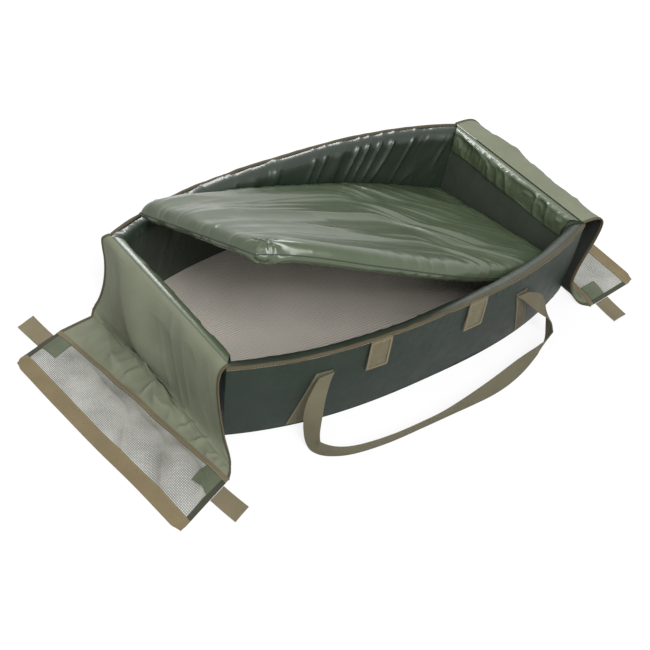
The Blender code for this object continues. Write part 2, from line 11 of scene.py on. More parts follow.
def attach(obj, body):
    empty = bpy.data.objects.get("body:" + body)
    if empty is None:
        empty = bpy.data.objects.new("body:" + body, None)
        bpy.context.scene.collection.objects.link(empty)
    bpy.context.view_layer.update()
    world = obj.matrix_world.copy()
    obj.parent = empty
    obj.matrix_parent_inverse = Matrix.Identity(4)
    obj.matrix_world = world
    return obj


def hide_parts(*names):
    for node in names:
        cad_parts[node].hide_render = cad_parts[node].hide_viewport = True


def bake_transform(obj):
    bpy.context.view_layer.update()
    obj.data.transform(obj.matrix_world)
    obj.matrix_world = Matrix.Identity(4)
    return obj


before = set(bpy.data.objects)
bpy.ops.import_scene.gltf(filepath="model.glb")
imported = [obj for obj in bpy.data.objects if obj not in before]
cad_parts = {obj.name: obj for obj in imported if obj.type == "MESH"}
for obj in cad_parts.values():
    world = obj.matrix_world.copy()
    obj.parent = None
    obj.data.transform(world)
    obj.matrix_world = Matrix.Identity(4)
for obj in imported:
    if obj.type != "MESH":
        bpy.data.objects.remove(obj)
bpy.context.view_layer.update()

# Sizes of the mat, as in the CAD part

MAT_HEIGHT = 0.205
RIM_LENGTH, RIM_END_WIDTH, RIM_MID_WIDTH = 1.05, 0.48, 0.65
BASE_LENGTH, BASE_END_WIDTH, BASE_MID_WIDTH = 1.024, 0.476, 0.64
SIDE_WALL, END_WALL = 0.035, 0.028
COVER = 0.0015
BASE_SHEET = 0.003
FLOOR_SHEET = 0.002
SEAM_GAP = 0.0003
WALL_CROWN = 0.005
SIDE_CURVE_POWER = 2.6
CORNER_DRAW_SHARE = 0.75
WALL_FOOT = BASE_SHEET + SEAM_GAP
LONG_HALF_RUN, END_HALF_RUN = 0.52, 0.24

PAD_THICKNESS = 0.055
PAD_CLEARANCE = 0.004
PAD_FLAT_RUN = 0.03
PAD_BEND_RADIUS = 0.2
PAD_LEFT_HEIGHT = 0.23
PAD_FAR_OVERLAP = 0.012
PAD_SEAM_SHARE = 0.36
PAD_ROLL_DEGREES = (8.8, 21.7)
PAD_TWIST_START, PAD_TWIST_RUN = 0.74, 2.05
PAD_HALF_SPREAD = (0.48, 0.27)

PATCH_WIDTH, PATCH_HEIGHT, PATCH_SPACING, PATCH_SHIFT = 0.055, 0.085, 0.275, -0.0425
WEBBING_WIDTH, WEBBING_THICKNESS = 0.04, 0.0025
WEB_FOOT_SPACING, WEB_TOP_SPACING, WEB_SHIFT = 0.67, 0.57, -0.026
WEB_TOP_HEIGHT, WEB_FOOT_HEIGHT = 0.15, 0.006
HANDLE_REACH, HANDLE_SPREAD, HANDLE_LIE_HEIGHT = 0.13, 0.715, 0.0205
HANDLE_CELLS, HANDLE_SHIFT_SHARE = 216, 0.03
HANDLE_ROUTE = (
    (0.066, 0.00, 0.97), (0.05, 0.05, 0.86), (0.014, 0.18, 0.6), (-0.006, 0.33, 0.32),
    (-0.01, 0.54, 0.1367), (0.024, 0.75, 0.1367), (0.09, 0.9, 0.1367), (0.204, 0.985, 0.1367),
    (0.33, 1.00, 0.1367), (0.445, 0.985, 0.1367), (0.63, 0.9, 0.1367), (0.79, 0.73, 0.1367),
    (0.912, 0.56, 0.1367), (0.98, 0.38, 0.24), (0.974, 0.2, 0.52), (0.92, 0.07, 0.82),
    (0.866, 0.00, 0.97),
)

FLAP_SHEET = 0.0025
BAND_RISE, FLAP_CLEARANCE = 0.0035, 0.001
FLAP_TOP = MAT_HEIGHT + SEAM_GAP + BAND_RISE + FLAP_CLEARANCE + FLAP_SHEET / 2
FLAP_SET_IN = 0.006
FOOT_BEND_RADIUS = 0.02
SEAM_TAPE = 0.012
NET_TAPE = 0.012
HEM_WIDTH = 0.038
FLAP_SPREAD = 0.55
FLAP_SIDE_TAPE, FLAP_MID_WIDTH = 0.0055, 0.52
TAB_WIDTH, TAB_LENGTH, TAB_SET_OUT = 0.048, 0.076, 0.008

# Each flap's side, roll and foot, then its crease, seam and outer edge as near out, near side,
# far out and far side, the length that its cloth is cut to, and the seeds of its folds
FLAPS = {
    "left": SimpleNamespace(
        name="left", sign=-1, roll=0.05, foot=0.03, crease=(0.018, 0.312, 0.031, 0.238),
        seam=(0.046, 0.349, 0.13, 0.212), edge=(0.211, 0.416, 0.27, 0.169), cut=0.27,
        fold_seed=151, foot_seed=191, net_seed=101, hem_seed=221),
    "right": SimpleNamespace(
        name="right", sign=1, roll=0.2, foot=0.03, crease=(-0.013, 0.3, 0.07, 0.262),
        seam=(0.011, 0.326, 0.097, 0.255), edge=(0.2, 0.306, 0.222, 0.262), cut=0.31,
        fold_seed=171, foot_seed=201, net_seed=131, hem_seed=231),
}

# Thicknesses in the looks

CLOTH, BAND_CLOTH, BASE_CLOTH, NET_THREAD = 0.0012, 0.0011, 0.002, 0.0007
WEB, HANDLE_WEB, TAB_WEB, HEM_WEB = 0.0018, 0.002, 0.0019, 0.0022
FLAT_TAPE, FOLDED_TAPE, TAB_SQUARE = 0.0016, 0.0034, 0.001

# Places that a surface is turned to face, and the seed of each wall's folds

LONG_WALLS = ("near", "far")
OUTSIDE = {"near": (0, -9, 0), "far": (0, 9, 0), "left": (-9, 0, 0), "right": (9, 0, 0)}
ABOVE, INSIDE = (0, 0, 9), (0, 0, 0.1)
WALL_SEEDS = {"near": 11, "far": 23, "left": 37, "right": 41}


# Camera, light and floor

def add_object(name, data):
    made = bpy.data.objects.new(name, data)
    bpy.context.scene.collection.objects.link(made)
    return made


def set_inputs(node, values):
    for label, value in values.items():
        node.inputs[label].default_value = value


def math_node(tree, kind, *values):
    """A sum on numbers and on what other nodes give."""
    node = tree.nodes.new("ShaderNodeMath")
    node.operation = kind
    for socket, value in zip(node.inputs, values):
        if isinstance(value, (int, float)):
            socket.default_value = value
        else:
            tree.links.new(value, socket)
    return node.outputs[0]


def map_range(tree, value, limits):
    node = tree.nodes.new("ShaderNodeMapRange")
    set_inputs(node, limits)
    tree.links.new(value, node.inputs["Value"])
    return node.outputs[0]


def add_camera():
    """The camera that was fitted to the photo, as its axes and its place."""
    camera = bpy.data.cameras.new("view")
    camera.lens, camera.sensor_width = 72, 36
    right = Vector((0.7926, -0.595, 0.1332))
    up = Vector((0.3181, 0.5898, 0.7423))
    back = Vector((-0.5202, -0.546, 0.6568))
    place = Matrix((right, up, back)).transposed().to_4x4()
    place.translation = (-1.703, -1.7375, 2.0184)
    holder = add_object("view", camera)
    holder.matrix_world = place
    bpy.context.scene.camera = holder
    bpy.context.scene.view_settings.view_transform = "Standard"


def add_lamp(name, place, size, watts):
    lamp = bpy.data.lights.new(name, "AREA")
    lamp.shape, lamp.size, lamp.size_y, lamp.energy = "RECTANGLE", size[0], size[1], watts
    holder = add_object(name, lamp)
    holder.location = place
    holder.rotation_euler = (Vector(INSIDE) - Vector(place)).to_track_quat("-Z", "Y").to_euler()


def backdrop_share(tree):
    """1 for rays from the camera, a mirror or glass, which see the white backdrop."""
    rays = tree.nodes.new("ShaderNodeLightPath").outputs
    seen = math_node(tree, "MAXIMUM", rays["Is Camera Ray"], rays["Is Glossy Ray"])
    return math_node(tree, "MAXIMUM", seen, rays["Is Transmission Ray"])


def add_world():
    """A white backdrop, which lights the mat less brightly than it looks."""
    world = bpy.data.worlds.new("studio")
    bpy.context.scene.world = world
    world.use_nodes = True
    tree = world.node_tree
    background = tree.nodes["Background"]
    set_inputs(background, {"Color": (1, 1, 1, 1)})
    strength = map_range(tree, backdrop_share(tree), {"To Min": 0.62})
    tree.links.new(strength, background.inputs["Strength"])


def add_floor_plane():
    """A pale floor that takes the shadows and looks nearly white."""
    mesh = bpy.data.meshes.new("floor")
    reach, drop, glow_share = 8, 0.0004, 0.8
    corners = [(-reach, -reach, 0), (reach, -reach, 0), (reach, reach, 0), (-reach, reach, 0)]
    mesh.from_pydata(corners, [], [(0, 1, 2, 3)])
    paint = bpy.data.materials.new("floor")
    mesh.materials.append(paint)
    paint.use_nodes = True
    tree = paint.node_tree
    shader = tree.nodes["Principled BSDF"]
    set_inputs(shader, {"Base Color": (0.86, 0.86, 0.86, 1), "Roughness": 0.9, "Specular IOR Level": 0.1})
    glow = tree.nodes.new("ShaderNodeEmission")
    blend = tree.nodes.new("ShaderNodeMixShader")
    share = math_node(tree, "MULTIPLY", backdrop_share(tree), glow_share)
    for output, socket in ((share, 0), (shader.outputs[0], 1), (glow.outputs[0], 2)):
        tree.links.new(output, blend.inputs[socket])
    tree.links.new(blend.outputs[0], tree.nodes["Material Output"].inputs["Surface"])
    floor = add_object("floor", mesh)
    floor.location.z = -drop


# Materials. Every cloth's weave follows its UV map, which is in metres

def material(name, colour, roughness, weave=None, pitch=0.001, grain_and_shade=0.1, relief=0.2, coat=0.0,
             specular=0.5, dark=0.7, cloud=14.0, sheen=0.0, wrinkle=0.0):
    """A cloth. weave is plain, rib, mesh, pile or none, and cloud is its colour patches to a metre. How
    strong those patches are is the cloth's own uneven tone, and on the netting also painted shade and light
    of its folds.
    """
    made = bpy.data.materials.new(name)
    made.use_nodes = True
    tree = made.node_tree
    nodes, links = tree.nodes, tree.links
    shader = nodes["Principled BSDF"]
    set_inputs(shader, {"Roughness": roughness, "Specular IOR Level": specular, "Coat Weight": coat,
                        "Coat Roughness": 0.12, "Sheen Weight": sheen, "Sheen Roughness": 0.4})
    uv = nodes.new("ShaderNodeUVMap")
    uv.uv_map = "cloth"
    axes = nodes.new("ShaderNodeSeparateXYZ")
    links.new(uv.outputs[0], axes.inputs[0])
    u, v = axes.outputs[0], axes.outputs[1]
    place = nodes.new("ShaderNodeTexCoord").outputs["Object"]

    def number(kind, *values):
        return math_node(tree, kind, *values)

    def clouds(scale, detail=3.0):
        node = nodes.new("ShaderNodeTexNoise")
        links.new(place, node.inputs["Vector"])
        set_inputs(node, {"Scale": scale, "Detail": detail})
        return node.outputs["Fac"]

    def wave(value):
        return number("SINE", number("MULTIPLY", value, 2 * math.pi / pitch))

    height = None
    if weave == "plain":
        height = number("MULTIPLY", wave(u), wave(v))
    elif weave == "rib":
        height = wave(number("ADD", u, number("MULTIPLY", number("PINGPONG", v, pitch * 2), 0.8)))
    elif weave == "mesh":
        slant = number("MULTIPLY", wave(number("ADD", u, v)), wave(number("SUBTRACT", u, v)))
        height = number("ADD", number("MULTIPLY", slant, 0.65), number("MULTIPLY", wave(v), 0.35))
    elif weave == "pile":
        height = number("SUBTRACT", number("MULTIPLY", clouds(900, 2.0), 3.4), 1.7)
    tone = map_range(tree, clouds(cloud), {"From Min": 0.3, "From Max": 0.7,
                                           "To Min": 1 - grain_and_shade, "To Max": 1 + grain_and_shade})
    if height is not None:
        depth = number("MULTIPLY_ADD", height, (1 - dark) / 2, (1 + dark) / 2)
        tone = number("MULTIPLY", tone, depth)
    tint = nodes.new("ShaderNodeVectorMath")
    tint.operation = "SCALE"
    tint.inputs[0].default_value = colour
    links.new(tone, tint.inputs["Scale"])
    links.new(tint.outputs[0], shader.inputs["Base Color"])
    wear = {"To Min": roughness * 0.8, "To Max": min(roughness * 1.2, 1)}
    links.new(map_range(tree, clouds(cloud * 2.3), wear), shader.inputs["Roughness"])
    normal = None
    for value, strength, distance in ((height, relief, pitch / 3), (clouds(60, 2.0), wrinkle, 0.004)):
        if value is None or strength == 0:
            continue
        bump = nodes.new("ShaderNodeBump")
        set_inputs(bump, {"Strength": strength, "Distance": distance})
        links.new(value, bump.inputs["Height"])
        if normal is not None:
            links.new(normal, bump.inputs["Normal"])
        normal = bump.outputs[0]
    if normal is not None:
        links.new(normal, shader.inputs["Normal"])
    return made


PLAIN = dict(weave="plain", pitch=0.0011, relief=0.2)
COARSE_PLAIN = dict(weave="plain", pitch=0.0012, specular=0.3)
RIB = dict(weave="rib", pitch=0.0022, grain_and_shade=0.08, relief=0.5, specular=0.2, dark=0.72)
FINE_RIB = dict(weave="rib", pitch=0.0016, grain_and_shade=0.08, relief=0.4, specular=0.2, dark=0.7)
SOFT_RIB = dict(FINE_RIB, relief=0.35, dark=0.75)
FIBRE = dict(grain_and_shade=0.05, specular=0.3)

OUTER = material("outer_nylon", (0.009, 0.018, 0.011), 0.5, relief=0.25, dark=0.85, wrinkle=0.15,
                 **COARSE_PLAIN)
FLAP_CLOTH = material("flap_nylon", (0.161, 0.174, 0.121), 0.72, grain_and_shade=0.06, specular=0.14, dark=0.88,
                      sheen=0.02, wrinkle=0.1, **PLAIN)
FLAP_BACK = material("flap_back", (0.018, 0.02, 0.017), 0.7, specular=0.25, **PLAIN)
LINER = material("liner_gloss", (0.02, 0.029, 0.02), 0.34, grain_and_shade=0.12, coat=0.25, specular=0.35,
                 wrinkle=0.1)
NEAR_LINER = material("near_liner", (0.022, 0.03, 0.021), 0.42, grain_and_shade=0.12, coat=0.1, specular=0.3,
                      wrinkle=0.12)
BAND = material("band_gloss", (0.056, 0.074, 0.04), 0.35, coat=0.22, wrinkle=0.12)
PAD_CLOTH = material("pad_gloss", (0.054, 0.072, 0.04), 0.3, grain_and_shade=0.08, coat=0.25, specular=0.35,
                     wrinkle=0.06)
END_LINER = material("end_liner", (0.046, 0.058, 0.042), 0.6, wrinkle=0.2, **COARSE_PLAIN)
FLOOR_MESH = material("floor_mesh", (0.74, 0.68, 0.598), 0.75, "mesh", 0.0068, 0.05, 0.8, specular=0.2,
                      dark=0.55, cloud=7)
# The netting's strong colour patches are painted shade and light of its folds, over the threads' own uneven
# tone.
NET = material("net_thread", (0.215, 0.215, 0.192), 0.6, grain_and_shade=0.3, specular=0.3, cloud=13)
TAPE = material("brown_tape", (0.088, 0.074, 0.045), 0.75, **FINE_RIB)
SEAM_TAPE_CLOTH = material("seam_tape", (0.165, 0.14, 0.086), 0.75, **FINE_RIB)
WEBBING = material("khaki_webbing", (0.205, 0.172, 0.108), 0.75, **RIB)
# The handles and sewn webs take a darker copy of the khaki webbing: painted shade, for the shaded side that
# they lie on.
SHADED_WEBBING = material("handle_webbing", (0.132, 0.12, 0.076), 0.75, **RIB)
HEM = material("hem_webbing", (0.196, 0.155, 0.086), 0.75, **dict(RIB, dark=0.75))
PILE = material("loop_pile", (0.13, 0.112, 0.052), 0.95, "pile", 0.002, 0.15, 0.9, specular=0.1, dark=0.6,
                cloud=120, sheen=0.2)
GREEN_TAPE = material("green_tape", (0.098, 0.114, 0.072), 0.7, **dict(SOFT_RIB, specular=0.25))
SIDE_TAPE = material("side_tape", (0.05, 0.052, 0.034), 0.7, **SOFT_RIB)
THREAD = material("stitch_thread", (0.3, 0.26, 0.17), 0.6, **FIBRE)
DARK_THREAD = material("dark_thread", (0.03, 0.034, 0.026), 0.6, **FIBRE)


# Shapes. A surface is an array of points, rows along v and columns along u

def mix(first, second, share):
    return first + (second - first) * share


def ease(share):
    share = np.clip(share, 0, 1)
    return share * share * (3 - 2 * share)


def bell(offset):
    return np.exp(-offset ** 2)


def arch(share):
    """A hump, 0 at 0 and 1, and 1 half way."""
    return np.sin(np.pi * np.clip(share, 0, 1))


def unit(vectors):
    return vectors / np.maximum(np.linalg.norm(vectors, axis=-1, keepdims=True), 1e-12)


def noise(x, y, seed):
    """Smooth noise from -1 to 1, one lump to a unit."""
    table = np.random.RandomState(seed).uniform(-1, 1, (64, 64))
    x, y = np.broadcast_arrays(np.asarray(x, float), np.asarray(y, float))
    column, row = np.floor(x).astype(int), np.floor(y).astype(int)
    a, b = ease(x - column), ease(y - row)

    def at(i, j):
        return table[(row + j) % 64, (column + i) % 64]

    return mix(mix(at(0, 0), at(1, 0), a), mix(at(0, 1), at(1, 1), a), b)


def creases(x, y, seed):
    """Ridged noise from 0 to 1, which gathers cloth into narrow crests."""
    return (1 - np.abs(noise(x, y, seed))) ** 2.2


def gathers(x, y, seed):
    """The same about its mean, for cloth that is gathered both in and out."""
    return creases(x, y, seed) - 0.45


def grid(columns, rows):
    return np.meshgrid(np.linspace(0, 1, columns + 1), np.linspace(0, 1, rows + 1))


def stack(x, y, z):
    return np.stack(np.broadcast_arrays(x, y, z), axis=-1).astype(float)


def normals(points):
    return unit(np.cross(np.gradient(points, axis=1), np.gradient(points, axis=0)))


def lift(points, height):
    """Moves each point along its normal."""
    return points + normals(points) * np.asarray(height)[..., None]


def turned_away(points, target):
    return (normals(points) * (np.asarray(target) - points)).sum() < 0


def facing(points, target):
    """The surface with its normals towards a point, its columns turned round if need be."""
    return points[:, ::-1] if turned_away(points, target) else points


def face_up(points):
    return facing(points, (points[..., 0].mean(), points[..., 1].mean(), 9))


def lift_towards(points, height, target):
    """The surface turned to face a point, and then lifted."""
    if turned_away(points, target):
        points, height = points[:, ::-1], height[:, ::-1]
    return lift(points, height)


def add_mesh(name, vertices, faces, materials, uvs, indices=None, sharp=50):
    data = bpy.data.meshes.new(name)
    data.from_pydata(vertices.tolist(), [], faces)
    layer = data.uv_layers.new(name="cloth")
    corners = np.empty(len(data.loops), int)
    data.loops.foreach_get("vertex_index", corners)
    layer.data.foreach_set("uv", uvs[corners].astype(np.float32).ravel())
    for entry in materials:
        data.materials.append(entry)
    if indices is not None:
        data.polygons.foreach_set("material_index", np.asarray(indices, np.int32))
    data.shade_smooth()
    data.set_sharp_from_angle(angle=math.radians(sharp))
    return add_object(name, data)


def cells(index):
    """The quads of a grid of vertex numbers."""
    return np.stack([index[:-1, :-1], index[:-1, 1:], index[1:, 1:], index[1:, :-1]], axis=-1)


def shell(name, points, thickness, front, back=None, centred=False, holes=None):
    """A closed sheet of cloth on a surface: points is its face, or its middle if centred."""
    rows, columns = points.shape[:2]
    out = normals(points)
    top = points + out * (thickness / 2 if centred else 0)
    low = top - out * thickness
    run = np.linalg.norm(np.diff(points, axis=1), axis=2).mean(axis=0)
    climb = np.linalg.norm(np.diff(points, axis=0), axis=2).mean(axis=1)
    u, v = np.meshgrid(*(np.concatenate([[0], np.cumsum(steps)]) for steps in (run, climb)))
    flat = np.stack([u, v], axis=-1).reshape(-1, 2)
    shift = rows * columns
    kept = np.ones((rows - 1, columns - 1), bool) if holes is None else ~holes
    quads = cells(np.arange(shift).reshape(rows, columns))[kept]
    edges = np.concatenate([quads[:, [i, (i + 1) % 4]] for i in range(4)])
    keys = edges[:, 0] * shift + edges[:, 1]
    free = edges[~np.isin(keys, edges[:, 1] * shift + edges[:, 0])]
    rim = np.stack([free[:, 1], free[:, 0], free[:, 0] + shift, free[:, 1] + shift], axis=-1)
    faces = np.concatenate([quads, quads[:, ::-1] + shift, rim])
    marks = np.repeat([0, 1, 0], [len(quads), len(quads), len(rim)])
    vertices = np.concatenate([top.reshape(-1, 3), low.reshape(-1, 3)])
    uvs = np.concatenate([flat, flat])
    if holes is not None:
        used = np.unique(faces)
        order = np.full(len(vertices), -1)
        order[used] = np.arange(len(used))
        vertices, uvs, faces = vertices[used], uvs[used], order[faces]
    return add_mesh(name, vertices, faces.tolist(), [front, back or front], uvs, marks)


def dress(piece, body, slot, *nodes):
    """Says which body a piece rides on and hides the CAD nodes that it stands for. slot, the finish it takes,
    is not used.
    """
    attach(piece, body)
    if nodes:
        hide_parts(*nodes)


def stitches(name, line, out, body, length=0.0045, gap=0.0025, wide=0.0007):
    """A row of stitches along a line of points, each standing a little out of the cloth."""
    out = np.asarray(out)
    step = np.concatenate([[0], np.cumsum(np.linalg.norm(np.diff(line, axis=0), axis=1))])
    starts = np.arange(gap, step[-1] - length, length + gap)
    at = np.stack([starts, starts + length / 2, starts + length], axis=1)
    spots = np.stack([np.interp(at, step, line[:, i]) for i in range(3)], axis=-1)
    run = spots[:, 2] - spots[:, 0]
    side = unit(np.cross(run[:, None, :], out)) * wide / 2
    rise = np.array([0.0, wide * 0.9, 0.0])[None, :, None] * out
    ring = np.stack([spots - side, spots + rise, spots + side, spots - out * wide], axis=2)
    base = np.arange(len(starts) * 12).reshape(-1, 3, 4)
    ahead = np.roll(base, -1, axis=2)
    faces = [np.stack([base[:, a, i], ahead[:, a, i], ahead[:, a + 1, i], base[:, a + 1, i]], axis=-1)
             for a in range(2) for i in range(4)]
    faces = np.concatenate([*faces, base[:, 0, ::-1], base[:, 2, :]])
    vertices = ring.reshape(-1, 3)
    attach(add_mesh(name, vertices, faces.tolist(), [THREAD], vertices[:, :2]), body)


# Walls

def outline(height, depth):
    share = height / MAT_HEIGHT
    length = mix(BASE_LENGTH, RIM_LENGTH, share) / 2 - depth * END_WALL / SIDE_WALL
    end = mix(BASE_END_WIDTH, RIM_END_WIDTH, share) / 2 - depth * CORNER_DRAW_SHARE
    middle = mix(BASE_MID_WIDTH, RIM_MID_WIDTH, share) / 2 - depth
    return length, end, middle


def side_line(x, height, depth):
    length, end, middle = outline(height, depth)
    return mix(end, middle, 1 - np.minimum(np.abs(x) / length, 1.0) ** SIDE_CURVE_POWER)


def wall_point(wall, along, height, depth):
    length, end, _ = outline(height, depth)
    if wall in LONG_WALLS:
        x = along * (length - SEAM_GAP)
        y = side_line(x, height, depth)
        return stack(x, y if wall == "far" else -y, height)
    return stack(length if wall == "right" else -length, along * (end - SEAM_GAP), height)


def wall_swell(wall, along, height):
    """How far a wall's outer cloth stands out: soft hollows, and puckers under the rim."""
    seed = WALL_SEEDS[wall]
    metres = along * (LONG_HALF_RUN if wall in LONG_WALLS else END_HALF_RUN)
    share = height / MAT_HEIGHT
    swell = 0.0016 * arch(share)
    swell += 0.0011 * noise(metres / 0.16, share * 1.6, seed)
    top = ease((share - 0.8) / 0.18)
    puckers = creases(metres / 0.021 + share * 2, share * 3, seed + 1) - 0.5
    swell += 0.0016 * puckers * top * (1 - 0.5 * ease((share - 0.95) / 0.05))
    foot = 1 - ease(share / 0.1)
    return swell + 0.001 * (creases(metres / 0.035, share * 2, seed + 2) - 0.5) * foot


def long_wall_surface(wall, x, height, out):
    """Points on a long wall's outer cloth, out metres off it."""
    along = x / (outline(height, 0)[0] - SEAM_GAP)
    return wall_point(wall, along, height, -(wall_swell(wall, along, height) + out))


def wall_section(count):
    """A wall's inner face and rounded top, as depths and heights from its foot to its outer edge."""
    round_wide, round_high = 0.029, 0.034
    climb = np.linspace(WALL_FOOT, MAT_HEIGHT - round_high, 40)
    depth = SIDE_WALL + WALL_CROWN * np.sin(np.pi * (climb - WALL_FOOT) / (MAT_HEIGHT - WALL_FOOT))
    turn = np.linspace(0, np.pi / 2, 24)[1:]
    round_depth = depth[-1] - (round_wide + depth[-1] - SIDE_WALL) * (1 - np.cos(turn) ** 0.85)
    round_height = MAT_HEIGHT - round_high * (1 - np.sin(turn) ** 0.9)
    over = np.linspace(SIDE_WALL - round_wide, 0.002, 4)[1:]
    depths = np.concatenate([depth, round_depth, over])
    heights = np.concatenate([climb, round_height, np.full(3, MAT_HEIGHT)])
    length = np.concatenate([[0], np.cumsum(np.hypot(np.diff(depths), np.diff(heights)))])
    at = np.linspace(0, length[-1], count + 1)
    return np.interp(at, length, depths)[:, None], np.interp(at, length, heights)[:, None]


def add_wall_cover(wall, columns):
    u, v = grid(columns, 48)
    along, height = 2 * u - 1, mix(WALL_FOOT, MAT_HEIGHT - 0.0005, v)
    points = facing(wall_point(wall, along, height, -wall_swell(wall, along, height)), OUTSIDE[wall])
    cover = shell(f"{wall}_wall_cover_cloth", points, CLOTH, OUTER)
    dress(cover, "mat_body", "outer_nylon", f"{wall}_wall_cover")


def add_wall_liner(wall, columns):
    """The padded inside of a wall, with slanted gathers that are deepest under the rim."""
    long = wall in LONG_WALLS
    seed = WALL_SEEDS[wall] + 5
    depths, heights = wall_section(70)
    line = np.linspace(-1, 1, columns + 1)[None, :]
    metres = line * (0.51 if long else 0.23)
    share = heights / MAT_HEIGHT
    slanted = metres + share * (-0.085 if wall == "far" else 0.045)
    strength = {"near": 0.0018, "far": 0.0072}.get(wall, 0.0009)
    folds = gathers(slanted / 0.034, share * 1.3, seed) * strength * ease(share * 1.5 - 0.1)
    small = gathers(slanted / 0.016, share * 2.0, seed + 1)
    folds += small * strength * 0.12 * ease(share * 2 - 1)
    folds = folds * (1 - 0.55 * ease((share - 0.93) / 0.06))
    folds += 0.0012 * noise(metres / 0.11, share * 2, seed + 2)
    ends = ease((1 - np.abs(line)) * (14 if long else 8))
    foot = ease((heights - WALL_FOOT) / 0.02)
    points = lift_towards(wall_point(wall, line, heights, depths), folds * ends * foot, INSIDE)
    gloss = {"near": NEAR_LINER, "far": LINER}.get(wall, END_LINER)
    liner = shell(f"{wall}_wall_liner_cloth", points, CLOTH, gloss)
    dress(liner, "mat_body", "wall_liner", f"{wall}_wall_liner", f"{wall}_wall_foam")


def add_rim_binding(wall):
    """Tape folded over the puckered outer edge of a long wall, and its stitches."""
    seed = WALL_SEEDS[wall] + 40
    along = np.linspace(-1, 1, 501)
    metres = along * LONG_HALF_RUN
    wave = 0.0012 * noise(metres / 0.055, 0.5, seed) + 0.0008 * noise(metres / 0.019, 0.5, seed + 1)
    outer, drop_out, drop_in = -0.0024, 0.0052, 0.0018
    inner, crest = (0.0062, 0.0032) if wall == "far" else (0.005, 0.002)
    turn = np.linspace(0, np.pi, 13)
    over = mix(outer, inner, (1 - np.cos(turn)) / 2)
    depth = np.concatenate([np.full(5, outer), over, np.full(3, inner)])
    inside = np.linspace(-0.0002, -drop_in, 3)
    rise = np.concatenate([np.linspace(-drop_out, 0, 5), crest * np.sin(turn), inside])[:, None]
    height = MAT_HEIGHT + 0.0006 + rise + wave[None, :]
    depths = depth[:, None] - 0.001 * noise(metres[None, :] / 0.03, rise * 60, seed + 2)
    points = wall_point(wall, along[None, :], np.minimum(height, MAT_HEIGHT), depths)
    points[..., 2] = height
    tape = shell(f"{wall}_rim_tape", facing(points, ABOVE), CLOTH, TAPE)
    dress(tape, "mat_body", "webbing", f"{wall}_rim_binding")
    low = wall_point(wall, along, MAT_HEIGHT, np.full_like(along, outer - 0.0001))
    low[:, 2] = MAT_HEIGHT - drop_out + 0.0016 + wave
    stitches(f"{wall}_rim_stitches", low, np.sign(OUTSIDE[wall]), "mat_body")


def add_end_band(wall):
    """The glossy cloth sewn over the top of an end wall, down its inner face."""
    sign = FLAPS[wall].sign
    seed = WALL_SEEDS[wall] + 60
    u, v = grid(260, 60)
    along = 2 * u - 1
    metres = along * END_HALF_RUN
    over_run = 0.036
    path = v * (0.046 + 0.0035 * noise(metres / 0.06, 0.3, seed) + over_run)
    angle = np.pi * np.clip(path / over_run, 0, 1)
    down = np.clip(path - over_run, 0, None)
    length, end, _ = outline(MAT_HEIGHT, 0)
    x = length - 0.002 - END_WALL / 2 * (1 - np.cos(angle)) - 0.0055 * ease(down / 0.03)
    z = MAT_HEIGHT - 0.001 + 0.0065 * np.sin(angle) - down
    lean = (MAT_HEIGHT - z) * (RIM_LENGTH - BASE_LENGTH) / 2 / MAT_HEIGHT
    inward = end - (length - x) * CORNER_DRAW_SHARE * SIDE_WALL / END_WALL
    points = stack(sign * (x - lean), along * (inward - 0.002), z)
    deep = 0.0085 if wall == "right" else 0.0042
    folds = gathers(metres / 0.04 + v * 0.8, v * 1.1, seed + 1) * deep
    folds += gathers(metres / 0.02 - v * 0.5, v * 2.6, seed + 2) * deep * 0.28
    folds += 0.0016 * noise(metres / 0.06, v * 2, seed + 3)
    ends = ease((1 - np.abs(along)) * 12)
    folds = folds * ends * mix(0.35, 1.0, arch(v) ** 0.5) * ease((v - 0.28) / 0.18)
    band = shell(f"{wall}_end_band", lift_towards(points, folds, ABOVE), BAND_CLOTH, BAND)
    dress(band, "mat_body", "pad_cover", f"{wall}_rim_binding")


def add_walls():
    for wall in WALL_SEEDS:
        columns = 420 if wall in LONG_WALLS else 200
        add_wall_cover(wall, columns)
        add_wall_liner(wall, columns)
    for wall in LONG_WALLS:
        add_rim_binding(wall)
    for wall in FLAPS:
        add_end_band(wall)


def add_floor_sheet(name, low, depth, thick, cloth, node, slot, swell=0.0):
    """A sheet over the whole bottom of the mat, low metres up and depth metres in from the outline."""
    u, v = grid(320, 180)
    top = low + thick
    length, _, middle = outline(top, depth)
    length, width = length - SEAM_GAP, 2 * middle
    x = (2 * u - 1) * length
    y = (2 * v - 1) * side_line(x, top, depth)
    z = top + swell * (1 + noise(x / 0.13, y / 0.09, 71)) * ease((1 - np.abs(2 * v - 1)) * 8)
    sheet = shell(name, facing(stack(x, y, z), ABOVE), thick, cloth)
    dress(sheet, "mat_body", slot, node)


# Mattress

PAD_HALF_LENGTH = outline(BASE_SHEET, SIDE_WALL)[0] - PAD_CLEARANCE


def pad_half_width(share):
    _, end, middle = outline(BASE_SHEET, SIDE_WALL)
    return mix(end, middle, 1 - np.abs(share) ** SIDE_CURVE_POWER) - PAD_CLEARANCE - WALL_CROWN


def pad_slope():
    run = 2 * PAD_HALF_LENGTH - PAD_FLAT_RUN
    slope = 0
    for _ in range(30):
        bent = PAD_BEND_RADIUS * slope
        rise = PAD_BEND_RADIUS * (1 - math.cos(slope))
        slope += (PAD_LEFT_HEIGHT - rise - (run - bent) * math.sin(slope)) / run
    return slope


PAD_SLOPE = pad_slope()


